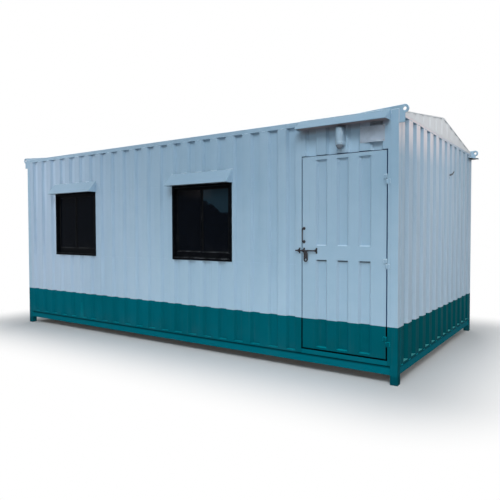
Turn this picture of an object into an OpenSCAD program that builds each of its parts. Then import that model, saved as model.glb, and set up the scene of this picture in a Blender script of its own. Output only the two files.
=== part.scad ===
// Portable site cabin: fluted steel walls on a channel base, four legs, low gable roof.
// Millimetres, +Z up. The origin is on the ground, in the middle of the cabin's bounding box.
// The front is the side with the door; left and right are as seen by someone who faces it.

/* [Cabin] */
// Length over the corner posts
cabin_l = 6100; // [5000:10:7300]
// Width over the corner posts
cabin_w = 3050; // [2400:10:3600]
// Height of the legs under the base
leg_h = 88; // [50:1:200]
// Thickness of the wall panels, from crest to lining
wall_t = 62; // [52:1:90]
// Side of the square corner posts
post_w = 75; // [65:1:100]
// Height of the top rails
rail_h = 50; // [40:1:90]

/* [Base and floor] */
// Height of the base channels
base_h = 90; // [75:1:150]
// Flange width of the base channels
base_w = 90; // [80:1:140]
// Plate thickness of the base channels
base_t = 6; // [4:0.5:10]
// Setback of the base channels behind the wall face
base_in = 14; // [5:1:25]
// Thickness of the floor board
floor_t = 22; // [12:1:40]
// Width of one floor joist
joist_w = 50; // [30:1:80]
// Number of floor joists
joist_count = 11; // [10:1:16]

/* [Flutes] */
// Distance from one flute to the next
flute_pitch = 236; // [200:1:300]
// Width of a flute at the face
flute_mouth = 130; // [90:1:150]
// Width of a flute at its floor
flute_floor = 84; // [50:1:88]
// Depth of a flute
flute_d = 32; // [15:1:40]
// First flute of the front wall, from the left corner
flute_first = 215; // [180:1:260]
// Flat strip under the flutes
sill_strip = 18; // [10:1:40]

/* [Roof] */
// Rise of the gable over the top rail
gable_rise = 207; // [120:1:400]
// Foot of a gable's slope from the corner
gable_foot = 124; // [80:1:200]
// Setback of the gable panels behind the end face
gable_in = 0; // [0:1:20]
// Depth of the flutes in the gable panels
gable_flute_d = 8; // [6:1:24]
// Thickness of the roof board between its ribs
roof_t = 14; // [8:1:30]
// Height of the roof ribs
rib_h = 18; // [8:1:30]
// Width of a roof rib at its foot
rib_foot = 70; // [50:1:100]
// Width of a roof rib at its top
rib_top = 36; // [20:1:48]
// Setback of each roof slope from the ridge
ridge_in = 14; // [10:1:30]
// Width of one wing of the ridge cap
cap_wing = 170; // [100:1:300]
// Plate thickness of the ridge cap
cap_t = 4; // [2:0.5:8]
// Clearance of the ridge cap over ribs and gables
cap_clear = 0.3; // [0.2:0.1:1]
// Thickness of the ceiling board
ceiling_t = 12; // [8:1:25]
// Distance of the ceiling below the top rail
ceiling_drop = 20; // [5:1:60]

/* [Windows] */
// Wall between the left corner post and the left window
pier_left_w = 681; // [500:1:900]
// Wall between the right window and the door's lock jamb
pier_right_w = 844; // [600:1:1100]
// Width of a window opening
win_w = 942; // [700:1:1100]
// Height of a window opening
win_h = 904; // [700:1:1000]
// Height of the window openings above the underside of the base
win_z = 1006; // [900:1:1150]
// Face width of the window frame
win_frame_w = 26; // [20:1:45]
// How far the window frame stands proud of the wall
win_proud = 6; // [0:1:15]
// Face width of a sash
sash_w = 30; // [20:1:45]
// Height of a sash's bottom rail
sash_foot = 74; // [30:1:90]
// Depth of a sash
sash_d = 18; // [12:1:20]
// Depth of the outer sash behind the wall face
sash_in = 10; // [4:1:12]
// Gap between the two sashes
sash_gap = 3; // [2:0.5:6]
// Thickness of the glass
glass_t = 5; // [4:0.5:8]

/* [Hoods] */
// How far a window hood stands out
hood_out = 120; // [60:1:200]
// Height of a window hood at the wall
hood_h = 152; // [100:1:200]
// Overhang of a window hood beside the opening
hood_side = 14; // [10:1:60]
// Height of a window hood's lower edge above the window's sill
hood_z = 898; // [850:1:960]
// How far the door canopy stands out
canopy_out = 120; // [80:1:250]
// Height of the door canopy at the wall
canopy_h = 100; // [70:1:120]
// Length of the door canopy
canopy_l = 970; // [900:1:1000]
// Upright lip along the front edge of hoods and canopy
hood_lip = 10; // [5:1:20]
// Sheet thickness of hoods and canopy
hood_t = 4; // [2:0.5:6]

/* [Door] */
// Width of the door leaf
door_w = 912; // [800:1:940]
// Height of the door leaf
door_h = 1962; // [1800:1:2100]
// Height of the wall panel over the door
header_h = 309; // [280:1:400]
// Thickness of the door leaf
door_t = 45; // [38:1:50]
// Gap round the door leaf
door_gap = 10; // [6:1:14]
// Clearance between the door leaf and the stops behind it
stop_gap = 5; // [5:0.5:10]
// How far the door stops reach behind the leaf
stop_lap = 15; // [8:1:30]
// Width of the jamb on the hinge side
hinge_jamb = 30; // [25:1:60]
// Width of the jamb on the lock side
lock_jamb = 78; // [60:1:120]
// Height of the door sill
door_sill_h = 48; // [35:1:80]
// Depth of the flutes in the door leaf
door_flute_d = 26; // [12:1:32]
// Plain margin under the lower flutes
door_foot = 24; // [15:1:60]
// Plain margin over the upper flutes
door_head = 36; // [15:1:60]
// Lower edge of the plain lock band above the door's foot
lock_z = 917; // [850:1:950]
// Height of the plain lock band
lock_h = 144; // [120:1:180]

/* [Hinges] */
// Radius of a hinge barrel
barrel_r = 9; // [7:0.5:10]
// Radius of a hinge pin
pin_r = 5; // [4:0.5:5.5]
// Clearance of the pin in its barrel
pin_clear = 0.1; // [0.05:0.05:0.3]
// Length of half a hinge
barrel_l = 44; // [30:1:60]
// Gap between the two halves of a hinge
barrel_gap = 2; // [1:0.5:4]
// Hinge axis in front of the door's face
hinge_out = 11; // [10:0.5:14]
// Plate thickness of a hinge leaf
leaf_t = 6; // [4:0.5:6]
// Width of a hinge leaf
leaf_w = 32; // [25:1:50]
// Lowest hinge above the door's foot
hinge_low = 167; // [120:1:300]
// Middle hinge above the door's foot
hinge_mid = 899; // [800:1:1000]
// Highest hinge above the door's foot
hinge_high = 1691; // [1600:1:1750]

/* [Bolt and handle] */
// Radius of the bolt rod
rod_r = 7; // [5:0.5:9]
// Length of the bolt rod
rod_l = 250; // [220:1:300]
// How far the shot bolt stands past the door's edge
rod_shot = 72; // [55:1:80]
// Bolt above the lower edge of the lock band
bolt_z = 90; // [60:1:110]
// Bolt axis in front of the door's face
bolt_out = 20; // [17:1:30]
// Clearance of the rod in its guides
rod_clear = 0.8; // [0.5:0.1:1.5]
// Wall of a guide round the rod
guide_wall = 6; // [4:0.5:8]
// Width of a guide
guide_w = 14; // [10:1:18]
// First guide from the door's edge
guide_first = 22; // [12:1:24]
// Distance between the two guides
guide_span = 145; // [140:1:160]
// Keeper on the jamb, from the door's edge
keeper_x = 32; // [25:1:36]
// Width of the bolt's lever
lever_w = 48; // [32:1:56]
// Width of the lever's neck between the guides
neck_w = 30; // [20:1:32]
// Depth of the lever's neck below the rod's axis
neck_h = 24; // [20:1:32]
// Thickness of the bolt's lever
lever_t = 6; // [4:0.5:8]
// Length of the bolt's lever
lever_l = 116; // [90:1:130]
// Radius of the lever's padlock hole
lever_hole_r = 10; // [5:0.5:12]
// Lever from the door's edge
lever_x = 52; // [50:1:55]
// Radius of the handle's bar
grip_r = 6; // [5:0.5:9]
// Height of the handle
grip_l = 137; // [110:1:200]
// Handle's axis in front of the door's face
grip_out = 38; // [30:1:50]
// Handle from the door's edge
grip_x = 20; // [16:1:60]
// Foot of the handle above the lock band's lower edge
grip_z = 181; // [160:1:250]
// Bend radius of the handle's corners
grip_bend = 14; // [10:1:20]

/* [Lamp] */
// Radius of the lamp's body
lamp_r = 42; // [30:1:48]
// Length of the lamp's straight body
lamp_body = 172; // [100:1:180]
// Length of the lamp's cone
lamp_cone = 44; // [20:1:45]
// Radius at the lamp's tip
lamp_tip_r = 14; // [8:1:20]
// Axis of the lamp's round front, before the wall
lamp_out = 44; // [42:1:70]
// Lamp from the door's lock edge
lamp_x = 445; // [440:1:460]
// Tip of the lamp above the door
lamp_z = 38; // [30:1:60]

/* [Lifting lugs] */
// Plate thickness of a lug
lug_t = 12; // [8:1:20]
// Radius of a lug's hole
lug_hole_r = 17; // [12:0.5:20]
// Radius of a lug's eye
lug_eye_r = 40; // [34:1:48]
// Lug hole beyond the end of the cabin
lug_eye_x = 51; // [42:1:60]
// Lug hole below the top of the rail
lug_eye_drop = 8; // [0:1:20]
// Width of a lug's tail beside the post
lug_tail_w = 55; // [45:1:60]
// Depth of a lug's tail below the top of the rail
lug_tail_h = 131; // [100:1:180]
// Reach of a lug's tongue along the top rail
lug_tongue = 520; // [300:5:700]
// Bite of the tongue's upper edge into the eye
lug_bite = 1; // [0.5:0.5:3]
// Reach of a rear lug's shelf plate
shelf_out = 105; // [60:1:120]
// Depth of a rear lug's shelf plate at the wall
shelf_d = 260; // [150:1:320]
// Depth of a rear lug's shelf plate at its outer end
shelf_nose = 100; // [60:1:140]
// Thickness of a rear lug's shelf plate
shelf_t = 8; // [5:1:15]
// Shelf plate below the top of the rail
shelf_drop = 88; // [70:1:110]

/* [Hidden] */
$fn = 48;

paint_white = "#b9cbd8";
paint_teal = "#0b6f78";
frame_black = "#101318";
bare_steel = "#6d6a68";
board = "#b9a98c";

// Overshoot of a cut past the face that it opens
over = 1;

// Levels from the ground up
base_z = leg_h;
wall_z = base_z + base_h;
wall_h = door_sill_h + door_gap + door_h + door_gap + header_h;
rail_z = wall_z + wall_h;
top_z = rail_z + rail_h;

// Front face and the middle of the cabin
front_y = (canopy_out - cabin_w) / 2;

// Inside of the walls
room_l = cabin_l - 2 * wall_t;
room_w = cabin_w - 2 * wall_t;

// Flutes that fit on a rear or end wall, and the first one
function flute_fit(len) = floor((len - 2 * post_w - flute_mouth) / flute_pitch) + 1;
function flute_start(len) = (len - (flute_fit(len) - 1) * flute_pitch) / 2;

// Doorway, seen along the front wall
hinge_jamb_x = cabin_l - post_w - hinge_jamb;
door_right = hinge_jamb_x - door_gap;
door_left = door_right - door_w;
lock_jamb_x = door_left - door_gap - lock_jamb;
door_z = wall_z + door_sill_h + door_gap;
door_top = door_z + door_h;
front_flutes = floor((hinge_jamb_x - flute_first) / flute_pitch) + 1;

// Door stops, flush with the lining
stop_y = door_t + stop_gap;
stop_reach = door_gap + stop_lap;

// Windows, hoods and sashes
win_left_x = post_w + pier_left_w;
win_right_x = lock_jamb_x - pier_right_w - win_w;
win_foot = base_z + win_z;
win_head = win_foot + win_h;
clear_w = win_w - 2 * win_frame_w;
clear_h = win_h - 2 * win_frame_w;
sash_len = (clear_w + sash_w) / 2;
pane_w = sash_len - 2 * sash_w;
pane_h = clear_h - sash_w - sash_foot;

// Hinges, bolt and handle
hinge_x = (door_right + hinge_jamb_x) / 2;
hinge_levels = [hinge_low, hinge_mid, hinge_high];
bolt_level = door_z + lock_z + bolt_z;
rod_bore_r = rod_r + rod_clear;
guide_r = rod_bore_r + guide_wall;

// Roof slope, from the inside of the front rail to the ridge, between the end rails
slope_run = cabin_w / 2 - post_w;
slope_angle = atan(gable_rise / (cabin_w / 2 - gable_foot));
slope_l = slope_run / cos(slope_angle);
roof_eave_z = top_z + gable_rise - slope_run * tan(slope_angle);
roof_l = cabin_l - 2 * post_w;
gable_t = post_w - gable_in;
rib_count = floor((roof_l - rib_foot) / flute_pitch) + 1;
rib_first = (roof_l - (rib_count - 1) * flute_pitch) / 2;

// Each side has its own frame: X to the right as seen from outside, Y inwards from the face
module front_side() translate([-cabin_l / 2, front_y, 0]) children();
module rear_side() translate([cabin_l / 2, front_y + cabin_w, 0]) rotate(180) children();
module left_side() translate([-cabin_l / 2, front_y + cabin_w, 0]) rotate(-90) children();
module right_side() translate([cabin_l / 2, front_y, 0]) rotate(90) children();

// Depth of the sheet behind its crest at a place along the wall
function relief(x, first, count, depth) =
    let (i = max(0, min(count - 1, round((x - first) / flute_pitch))))
    let (off = abs(x - first - i * flute_pitch))
    let (flank = (flute_mouth - flute_floor) / 2)
    depth * max(0, min(1, (flute_mouth / 2 - off) / flank));

// Outline of the fluted face between two places along the wall
function face_line(x0, x1, first, count, depth) = concat(
    [[x0, relief(x0, first, count, depth)]],
    [for (i = [0 : count - 1], b = [-flute_mouth, -flute_floor, flute_floor, flute_mouth])
        let (x = first + i * flute_pitch + b / 2)
        if (x > x0 && x < x1) [x, relief(x, first, count, depth)]],
    [[x1, relief(x1, first, count, depth)]]
);

// Fluted panel between two places and two levels, its lining at the given thickness
module fluted_panel(x0, x1, z0, z1, first, count, depth = flute_d, thick = wall_t) {
    translate([0, 0, z0])
        linear_extrude(z1 - z0)
            polygon(concat(face_line(x0, x1, first, count, depth), [[x1, thick], [x0, thick]]));
}

// Full wall between two posts: plain strip at the foot, flutes above it
module full_wall(len) {
    color(paint_white) {
        translate([post_w, 0, wall_z])
            cube([len - 2 * post_w, wall_t, sill_strip]);
        fluted_panel(post_w, len - post_w, wall_z + sill_strip, rail_z, flute_start(len), flute_fit(len));
    }
}

module front_panel(x0, x1, z0, z1) {
    color(paint_white)
        front_side()
            fluted_panel(x0, x1, z0, z1, flute_first, front_flutes);
}

// Corner post that runs down as a leg
module leg_post() {
    color(paint_white)
        cube([post_w, post_w, top_z]);
}

// Channel with its back outwards and its flanges towards the middle, coped at both ends
module base_channel(len, cope) {
    color(paint_teal)
        translate([0, base_in, base_z]) {
            translate([post_w, 0, 0])
                cube([len - 2 * post_w, base_t, base_h]);
            for (z = [0, base_h - base_t])
                translate([cope, 0, z])
                    cube([len - 2 * cope, base_w, base_t]);
        }
}

module top_rail(len) {
    color(paint_white)
        translate([post_w, 0, rail_z])
            cube([len - 2 * post_w, post_w, rail_h]);
}

// Room in plan, notched round the posts
module room_plan() {
    notch = post_w - wall_t;
    difference() {
        square([room_l, room_w], center = true);
        for (sx = [-1, 1], sy = [-1, 1])
            translate([sx * room_l / 2, sy * room_w / 2])
                square(2 * notch, center = true);
    }
}

module room_board(thick) {
    translate([0, front_y + cabin_w / 2, 0])
        linear_extrude(thick)
            room_plan();
}

module floor_joists() {
    span = cabin_w - 2 * (base_in + base_w);
    reach = cabin_l - 2 * (base_in + base_w) - joist_w;
    step = reach / (joist_count + 1);
    color(paint_teal)
        for (i = [1 : joist_count])
            translate([i * step - reach / 2 - joist_w / 2, front_y + base_in + base_w, base_z])
                cube([joist_w, span, base_h]);
}

// Window frame as a ring in the wall's opening
module window_frame(x) {
    color(frame_black)
        front_side()
            translate([x, -win_proud, win_foot])
                difference() {
                    cube([win_w, wall_t + win_proud, win_h]);
                    translate([win_frame_w, -over, win_frame_w])
                        cube([clear_w, wall_t + win_proud + 2 * over, clear_h]);
                }
}

// Sliding sash number 0 runs outside on the right, number 1 inside on the left
function sash_x(x, i) = x + win_frame_w + (i == 0 ? clear_w - sash_len : 0);
function sash_y(i) = sash_in + i * (sash_d + sash_gap);

module window_sashes(x) {
    color(frame_black)
        front_side()
            for (i = [0, 1])
                translate([sash_x(x, i), sash_y(i), win_foot + win_frame_w])
                    difference() {
                        cube([sash_len, sash_d, clear_h]);
                        translate([sash_w, -over, sash_foot])
                            cube([pane_w, sash_d + 2 * over, pane_h]);
                    }
}

module window_glass(x) {
    color(frame_black)
        front_side()
            for (i = [0, 1])
                translate([sash_x(x, i) + sash_w, sash_y(i) + (sash_d - glass_t) / 2,
                    win_foot + win_frame_w + sash_foot])
                    cube([pane_w, glass_t, pane_h]);
}

// Folded sheet wedge, open below, with closed ends; its back is on the wall
module sheet_hood(len, out, high) {
    color(paint_white)
        difference() {
            hood_wedge(len, out, high, hood_lip);
            translate([hood_t, 0, -over])
                hood_wedge(len - 2 * hood_t, out - hood_t, high - 2 * hood_t + over,
                    hood_lip - hood_t + over);
        }
}

module hood_wedge(len, out, high, lip) {
    rotate([90, 0, 90])
        linear_extrude(len)
            polygon([[0, 0], [0, high], [-out, lip], [-out, 0]]);
}

module window_hood(x) {
    front_side()
        translate([x - hood_side, 0, win_foot + hood_z])
            sheet_hood(win_w + 2 * hood_side, hood_out, hood_h);
}

module door_canopy() {
    front_side()
        translate([(door_left + door_right - canopy_l) / 2, 0, top_z - canopy_h])
            sheet_hood(canopy_l, canopy_out, canopy_h);
}

// Round-fronted wall lamp with a cone below, on the crest between two flutes over the door
module door_lamp() {
    color("whitesmoke")
        front_side()
            translate([door_left + lamp_x, 0, door_top + lamp_z]) {
                translate([0, -lamp_out, 0])
                    rotate_extrude()
                        polygon([
                            [0, 0], [lamp_tip_r, 0], [lamp_r, lamp_cone],
                            [lamp_r, lamp_cone + lamp_body], [0, lamp_cone + lamp_body]
                        ]);
                translate([-lamp_r, -lamp_out, lamp_cone])
                    cube([2 * lamp_r, lamp_out, lamp_body]);
            }
}

// Flute pressed into the door's face between two levels
module door_flute(x, z0, z1) {
    flank = (flute_mouth - flute_floor) / 2 / door_flute_d * over;
    translate([x, 0, z0])
        linear_extrude(z1 - z0)
            polygon([
                [-flute_mouth / 2 - flank, -over], [flute_mouth / 2 + flank, -over],
                [flute_floor / 2, door_flute_d], [-flute_floor / 2, door_flute_d]
            ]);
}

module door_leaf() {
    color(paint_white)
        front_side()
            translate([door_left, 0, door_z])
                difference() {
                    cube([door_w, door_t, door_h]);
                    for (i = [-1 : 1]) {
                        door_flute(door_w / 2 + i * flute_pitch, door_foot, lock_z);
                        door_flute(door_w / 2 + i * flute_pitch, lock_z + lock_h, door_h - door_head);
                    }
                }
}

module at_hinges() {
    front_side()
        for (z = hinge_levels)
            translate([hinge_x, -hinge_out, door_z + z])
                children();
}

// Lower half of a lift-off hinge: barrel with its pin, welded to the jamb by a leaf
module post_hinge_halves() {
    color(paint_white)
        at_hinges()
            translate([0, 0, -barrel_l - barrel_gap / 2]) {
                cylinder(r = barrel_r, h = barrel_l);
                cylinder(r = pin_r, h = 2 * barrel_l);
                translate([0, hinge_out - leaf_t, 0])
                    cube([leaf_w, leaf_t, barrel_l]);
            }
}

// Upper half of a lift-off hinge, welded to the door by a leaf
module door_hinge_halves() {
    color(paint_white)
        at_hinges()
            translate([0, 0, barrel_gap / 2])
                difference() {
                    union() {
                        cylinder(r = barrel_r, h = barrel_l);
                        translate([-leaf_w, hinge_out - leaf_t, 0])
                            cube([leaf_w, leaf_t, barrel_l]);
                    }
                    translate([0, 0, -over])
                        cylinder(r = pin_r + pin_clear, h = barrel_l + 2 * over);
                }
}

// Guide that stands on a face and holds the rod, its bore along X
module rod_guide() {
    rotate([90, 0, 90])
        difference() {
            union() {
                cylinder(r = guide_r, h = guide_w, center = true);
                translate([0, -guide_r, -guide_w / 2])
                    cube([bolt_out, 2 * guide_r, guide_w]);
            }
            cylinder(r = rod_bore_r, h = guide_w + 2 * over, center = true);
        }
}

// Pull handle: an upright bar on two bent shanks
module pull_handle() {
    straight = grip_l - 2 * grip_bend;
    shank = grip_out - grip_bend;
    translate([0, -grip_out, grip_bend])
        cylinder(r = grip_r, h = straight);
    for (end = [0, 1])
        translate([0, 0, end * grip_l])
            mirror([0, 0, end]) {
                rotate([90, 0, 0])
                    cylinder(r = grip_r, h = shank);
                translate([0, -shank, grip_bend])
                    rotate([0, 90, 0])
                        rotate([0, 0, -90])
                            rotate_extrude(angle = 90)
                                translate([grip_bend, 0])
                                    circle(r = grip_r);
            }
}

module door_handle() {
    color(bare_steel)
        front_side()
            translate([door_left + grip_x, 0, door_z + lock_z + grip_z])
                pull_handle();
}

module bolt_guides() {
    color(bare_steel)
        front_side()
            for (i = [0, 1])
                translate([door_left + guide_first + i * guide_span, -bolt_out, bolt_level])
                    rod_guide();
}

module bolt_keeper() {
    color(bare_steel)
        front_side()
            translate([door_left - keeper_x, -bolt_out, bolt_level])
                rod_guide();
}

// Rod with a hanging lever that ends in a padlock eye
module slide_bolt() {
    eye_r = lever_w / 2;
    color(bare_steel)
        front_side()
            translate([door_left, -bolt_out, bolt_level]) {
                translate([-rod_shot, 0, 0])
                    rotate([0, 90, 0])
                        cylinder(r = rod_r, h = rod_l);
                translate([lever_x, 0, 0])
                    rotate([90, 0, 0])
                        difference() {
                            union() {
                                translate([-neck_w / 2, -lever_l / 2, 0])
                                    cube([neck_w, lever_l / 2, lever_t]);
                                translate([-lever_w / 2, eye_r - lever_l, 0])
                                    cube([lever_w, lever_l - eye_r - neck_h, lever_t]);
                                translate([0, eye_r - lever_l, 0])
                                    cylinder(r = eye_r, h = lever_t);
                            }
                            translate([0, eye_r - lever_l, -over])
                                cylinder(r = lever_hole_r, h = lever_t + 2 * over);
                        }
            }
}

// Ribbed roof sheet, its ribs down the slope; X along the cabin, Y up the slope
module roof_slope() {
    half = roof_l / 2;
    deep = roof_t + rib_h;
    color(paint_white)
        translate([0, front_y + post_w, roof_eave_z])
            rotate([slope_angle - 90, 0, 0])
                linear_extrude(slope_l - ridge_in)
                    polygon(concat(
                        [[half, deep], [-half, deep], [-half, rib_h]],
                        [for (i = [0 : rib_count - 1], b = [-rib_foot, -rib_top, rib_top, rib_foot])
                            [rib_first + i * flute_pitch + b / 2 - half, abs(b) == rib_top ? 0 : rib_h]],
                        [[half, rib_h]]
                    ));
}

// The same slope turned about the middle of the cabin
module turned() {
    translate([0, 2 * (front_y + cabin_w / 2), 0])
        rotate(180)
            children();
}

// Folded cap that lies on the gables and on the ribs of both slopes
module ridge_cap() {
    len = cabin_l - 2 * gable_in;
    drop = cap_wing * tan(slope_angle);
    thick = cap_t / cos(slope_angle);
    color(paint_white)
        translate([-len / 2, front_y + cabin_w / 2, top_z + gable_rise + cap_clear])
            rotate([90, 0, 90])
                linear_extrude(len)
                    polygon([
                        [0, 0], [cap_wing, -drop], [cap_wing, thick - drop],
                        [0, thick], [-cap_wing, thick - drop], [-cap_wing, -drop]
                    ]);
}

// Gable panel on the end rail, fluted like the wall below it
module gable() {
    color(paint_white)
        translate([0, gable_in, 0])
            intersection() {
                fluted_panel(gable_foot, cabin_w - gable_foot, top_z, top_z + gable_rise,
                    flute_start(cabin_w), flute_fit(cabin_w), gable_flute_d, gable_t);
                translate([0, gable_t + over, top_z])
                    rotate([90, 0, 0])
                        linear_extrude(gable_t + 2 * over)
                            polygon([
                                [gable_foot, 0], [cabin_w - gable_foot, 0], [cabin_w / 2, gable_rise]
                            ]);
            }
}

// Lifting lug at the right end of a side's top rail: tail on the post's end face, eye beyond it,
// and a long tongue on the rail whose upper edge rises into the top of the eye
module lifting_lug(tail_h) {
    tip_x = lug_eye_x + lug_tongue;
    tip_d = norm([tip_x, lug_eye_drop]);
    touch_r = lug_eye_r - lug_bite;
    rise = asin(touch_r / tip_d) - atan(lug_eye_drop / tip_x);
    run = sqrt(tip_d * tip_d - touch_r * touch_r);
    color(paint_white)
        translate([0, lug_t, top_z])
            rotate([90, 0, 0])
                difference() {
                    union() {
                        linear_extrude(lug_t)
                            polygon([
                                [0, 0], [-lug_tongue, 0],
                                [run * cos(rise) - lug_tongue, run * sin(rise)],
                                [lug_tail_w, -lug_eye_drop], [lug_tail_w, -tail_h], [0, -tail_h]
                            ]);
                        translate([lug_eye_x, -lug_eye_drop, 0])
                            cylinder(r = lug_eye_r, h = lug_t);
                    }
                    translate([lug_eye_x, -lug_eye_drop, -over])
                        cylinder(r = lug_hole_r, h = lug_t + 2 * over);
                }
}

// Shelf plate under a rear lug's eye
module lug_shelf() {
    color(paint_white)
        translate([0, 0, top_z - shelf_drop - shelf_t])
            linear_extrude(shelf_t)
                polygon([[0, lug_t], [shelf_out, lug_t], [shelf_out, shelf_nose], [0, shelf_d]]);
}

// Lower band of the front wall, with the plain strip at its foot
module front_wall_lower() {
    color(paint_white)
        front_side()
            translate([post_w, 0, wall_z])
                cube([lock_jamb_x - post_w, wall_t, sill_strip]);
    front_panel(post_w, lock_jamb_x, wall_z + sill_strip, win_foot);
}

// Jamb beside the doorway, with its stop behind the leaf
module door_jamb(x, wide, stop_x) {
    color(paint_white)
        front_side() {
            translate([x, 0, wall_z])
                cube([wide, wall_t, wall_h]);
            translate([stop_x, stop_y, door_z - door_gap])
                cube([stop_reach, wall_t - stop_y, door_h + 2 * door_gap]);
        }
}

// Stop across the doorway, from one jamb's stop to the other's
module cross_stop(z) {
    front_side()
        translate([door_left - door_gap + stop_reach, stop_y, z])
            cube([door_w + 2 * (door_gap - stop_reach), wall_t - stop_y, stop_reach]);
}

module front_wall_over_door() {
    front_panel(door_left - door_gap, hinge_jamb_x, door_top + door_gap, rail_z);
    color(paint_white)
        cross_stop(door_top + door_gap - stop_reach);
}

module door_sill() {
    color(paint_teal) {
        front_side()
            translate([door_left - door_gap, 0, wall_z])
                cube([door_w + 2 * door_gap, wall_t, door_sill_h]);
        cross_stop(door_z - door_gap);
    }
}

module front_right_lug() {
    translate([cabin_l / 2, front_y, 0])
        lifting_lug(lug_tail_h);
}

module rear_right_lug() {
    translate([cabin_l / 2, front_y + cabin_w, 0])
        mirror([0, 1, 0]) {
            lifting_lug(shelf_drop + shelf_t);
            lug_shelf();
        }
}

front_side() leg_post();  // leg_post_front_left
right_side() leg_post();  // leg_post_front_right
left_side() leg_post();  // leg_post_rear_left
rear_side() leg_post();  // leg_post_rear_right
front_side() base_channel(cabin_l, post_w);  // base_front
rear_side() base_channel(cabin_l, post_w);  // base_rear
left_side() base_channel(cabin_w, base_in + base_w);  // base_left
right_side() base_channel(cabin_w, base_in + base_w);  // base_right
floor_joists();
color(board) translate([0, 0, wall_z]) room_board(floor_t);  // floor_board
front_side() top_rail(cabin_l);  // top_rail_front
rear_side() top_rail(cabin_l);  // top_rail_rear
left_side() top_rail(cabin_w);  // top_rail_left
right_side() top_rail(cabin_w);  // top_rail_right
front_wall_lower();
front_panel(post_w, lock_jamb_x, win_head, rail_z);  // front_wall_upper
front_panel(post_w, win_left_x, win_foot, win_head);  // front_wall_pier_left
front_panel(win_left_x + win_w, win_right_x, win_foot, win_head);  // front_wall_pier_middle
front_panel(win_right_x + win_w, lock_jamb_x, win_foot, win_head);  // front_wall_pier_right
front_wall_over_door();
rear_side() full_wall(cabin_l);  // rear_wall
left_side() full_wall(cabin_w);  // left_wall
right_side() full_wall(cabin_w);  // right_wall
door_jamb(lock_jamb_x, lock_jamb, lock_jamb_x + lock_jamb);  // door_jamb_lock
door_jamb(hinge_jamb_x, hinge_jamb, hinge_jamb_x - stop_reach);  // door_jamb_hinge
door_sill();
window_frame(win_left_x);  // window_frame_left
window_sashes(win_left_x);  // window_sashes_left
window_glass(win_left_x);  // window_glass_left
window_frame(win_right_x);  // window_frame_right
window_sashes(win_right_x);  // window_sashes_right
window_glass(win_right_x);  // window_glass_right
window_hood(win_left_x);  // window_hood_left
window_hood(win_right_x);  // window_hood_right
door_canopy();
door_lamp();
door_leaf();
door_hinge_halves();
post_hinge_halves();
door_handle();
bolt_guides();
slide_bolt();
bolt_keeper();
color("white") translate([0, 0, rail_z - ceiling_drop - ceiling_t]) room_board(ceiling_t);  // ceiling
roof_slope();  // roof_front
turned() roof_slope();  // roof_rear
ridge_cap();
left_side() gable();  // gable_left
right_side() gable();  // gable_right
mirror([1, 0, 0]) front_right_lug();  // lifting_lug_front_left
front_right_lug();  // lifting_lug_front_right
mirror([1, 0, 0]) rear_right_lug();  // lifting_lug_rear_left
rear_right_lug();  // lifting_lug_rear_right
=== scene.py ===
"""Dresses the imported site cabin: paint, glass, steel, fixings, lining and the studio round it."""

import functools
import math

import bmesh
import bpy
from bpy.props import FloatProperty, FloatVectorProperty, IntProperty, PointerProperty
from bpy.types import Operator, Panel, PropertyGroup
from mathutils import Matrix, Vector


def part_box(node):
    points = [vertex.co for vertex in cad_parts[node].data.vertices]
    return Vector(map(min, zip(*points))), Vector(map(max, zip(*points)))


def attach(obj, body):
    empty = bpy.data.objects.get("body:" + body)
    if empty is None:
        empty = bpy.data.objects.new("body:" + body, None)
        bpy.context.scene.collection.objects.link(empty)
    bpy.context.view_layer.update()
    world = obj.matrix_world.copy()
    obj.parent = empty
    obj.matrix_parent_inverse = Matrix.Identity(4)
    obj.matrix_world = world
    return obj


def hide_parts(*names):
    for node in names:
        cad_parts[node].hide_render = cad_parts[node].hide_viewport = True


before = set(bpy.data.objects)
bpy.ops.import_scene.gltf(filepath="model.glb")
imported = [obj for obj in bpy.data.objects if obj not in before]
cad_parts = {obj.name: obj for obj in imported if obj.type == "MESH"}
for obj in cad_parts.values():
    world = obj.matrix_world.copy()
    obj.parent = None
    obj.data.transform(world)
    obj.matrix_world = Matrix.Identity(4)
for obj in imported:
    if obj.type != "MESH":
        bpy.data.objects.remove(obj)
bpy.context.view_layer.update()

bl_info = {
    "name": "Site Cabin Dressing",
    "version": (1, 0, 0),
    "blender": (4, 5, 0),
    "location": "3D View > Sidebar > Cabin",
    "description": "Paints, glazes and fits out a portable site cabin",
    "category": "Object",
}

# Outer faces of the cabin, from the frame's own solids
LEFT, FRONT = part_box("leg_post_front_left")[0].xy
RIGHT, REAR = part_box("leg_post_rear_right")[1].xy
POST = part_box("leg_post_front_left")[1].x - LEFT
RAIL_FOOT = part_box("top_rail_front")[0].z
RAIL_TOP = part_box("top_rail_front")[1].z
BASE_FOOT, BASE_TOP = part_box("base_front")[0].z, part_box("base_front")[1].z
ROOM_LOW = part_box("floor_board")[0]
ROOM_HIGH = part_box("floor_board")[1]
FLOOR_TOP = ROOM_HIGH.z
CEILING_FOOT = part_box("ceiling")[0].z
MIDDLE = (FRONT + REAR) / 2
WHITE = (1.0, 1.0, 1.0, 1.0)


def size(name, description, default):
    """A length that a user may change."""
    return FloatProperty(name=name, description=description, default=default,
                         min=0.0, unit="LENGTH", subtype="DISTANCE", precision=4)


def share(name, description, default):
    """A part of a whole, from 0 to 1."""
    return FloatProperty(name=name, description=description, default=default,
                         min=0.0, max=1.0, subtype="FACTOR")


def tint(name, description, default):
    """A colour as it looks on a screen."""
    return FloatVectorProperty(name=name, description=description, default=default,
                               size=3, min=0.0, max=1.0, subtype="COLOR_GAMMA")


def place(name, description, default):
    """A point in the cabin's frame."""
    return FloatVectorProperty(name=name, description=description, default=default,
                               size=3, unit="LENGTH", subtype="TRANSLATION")


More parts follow.
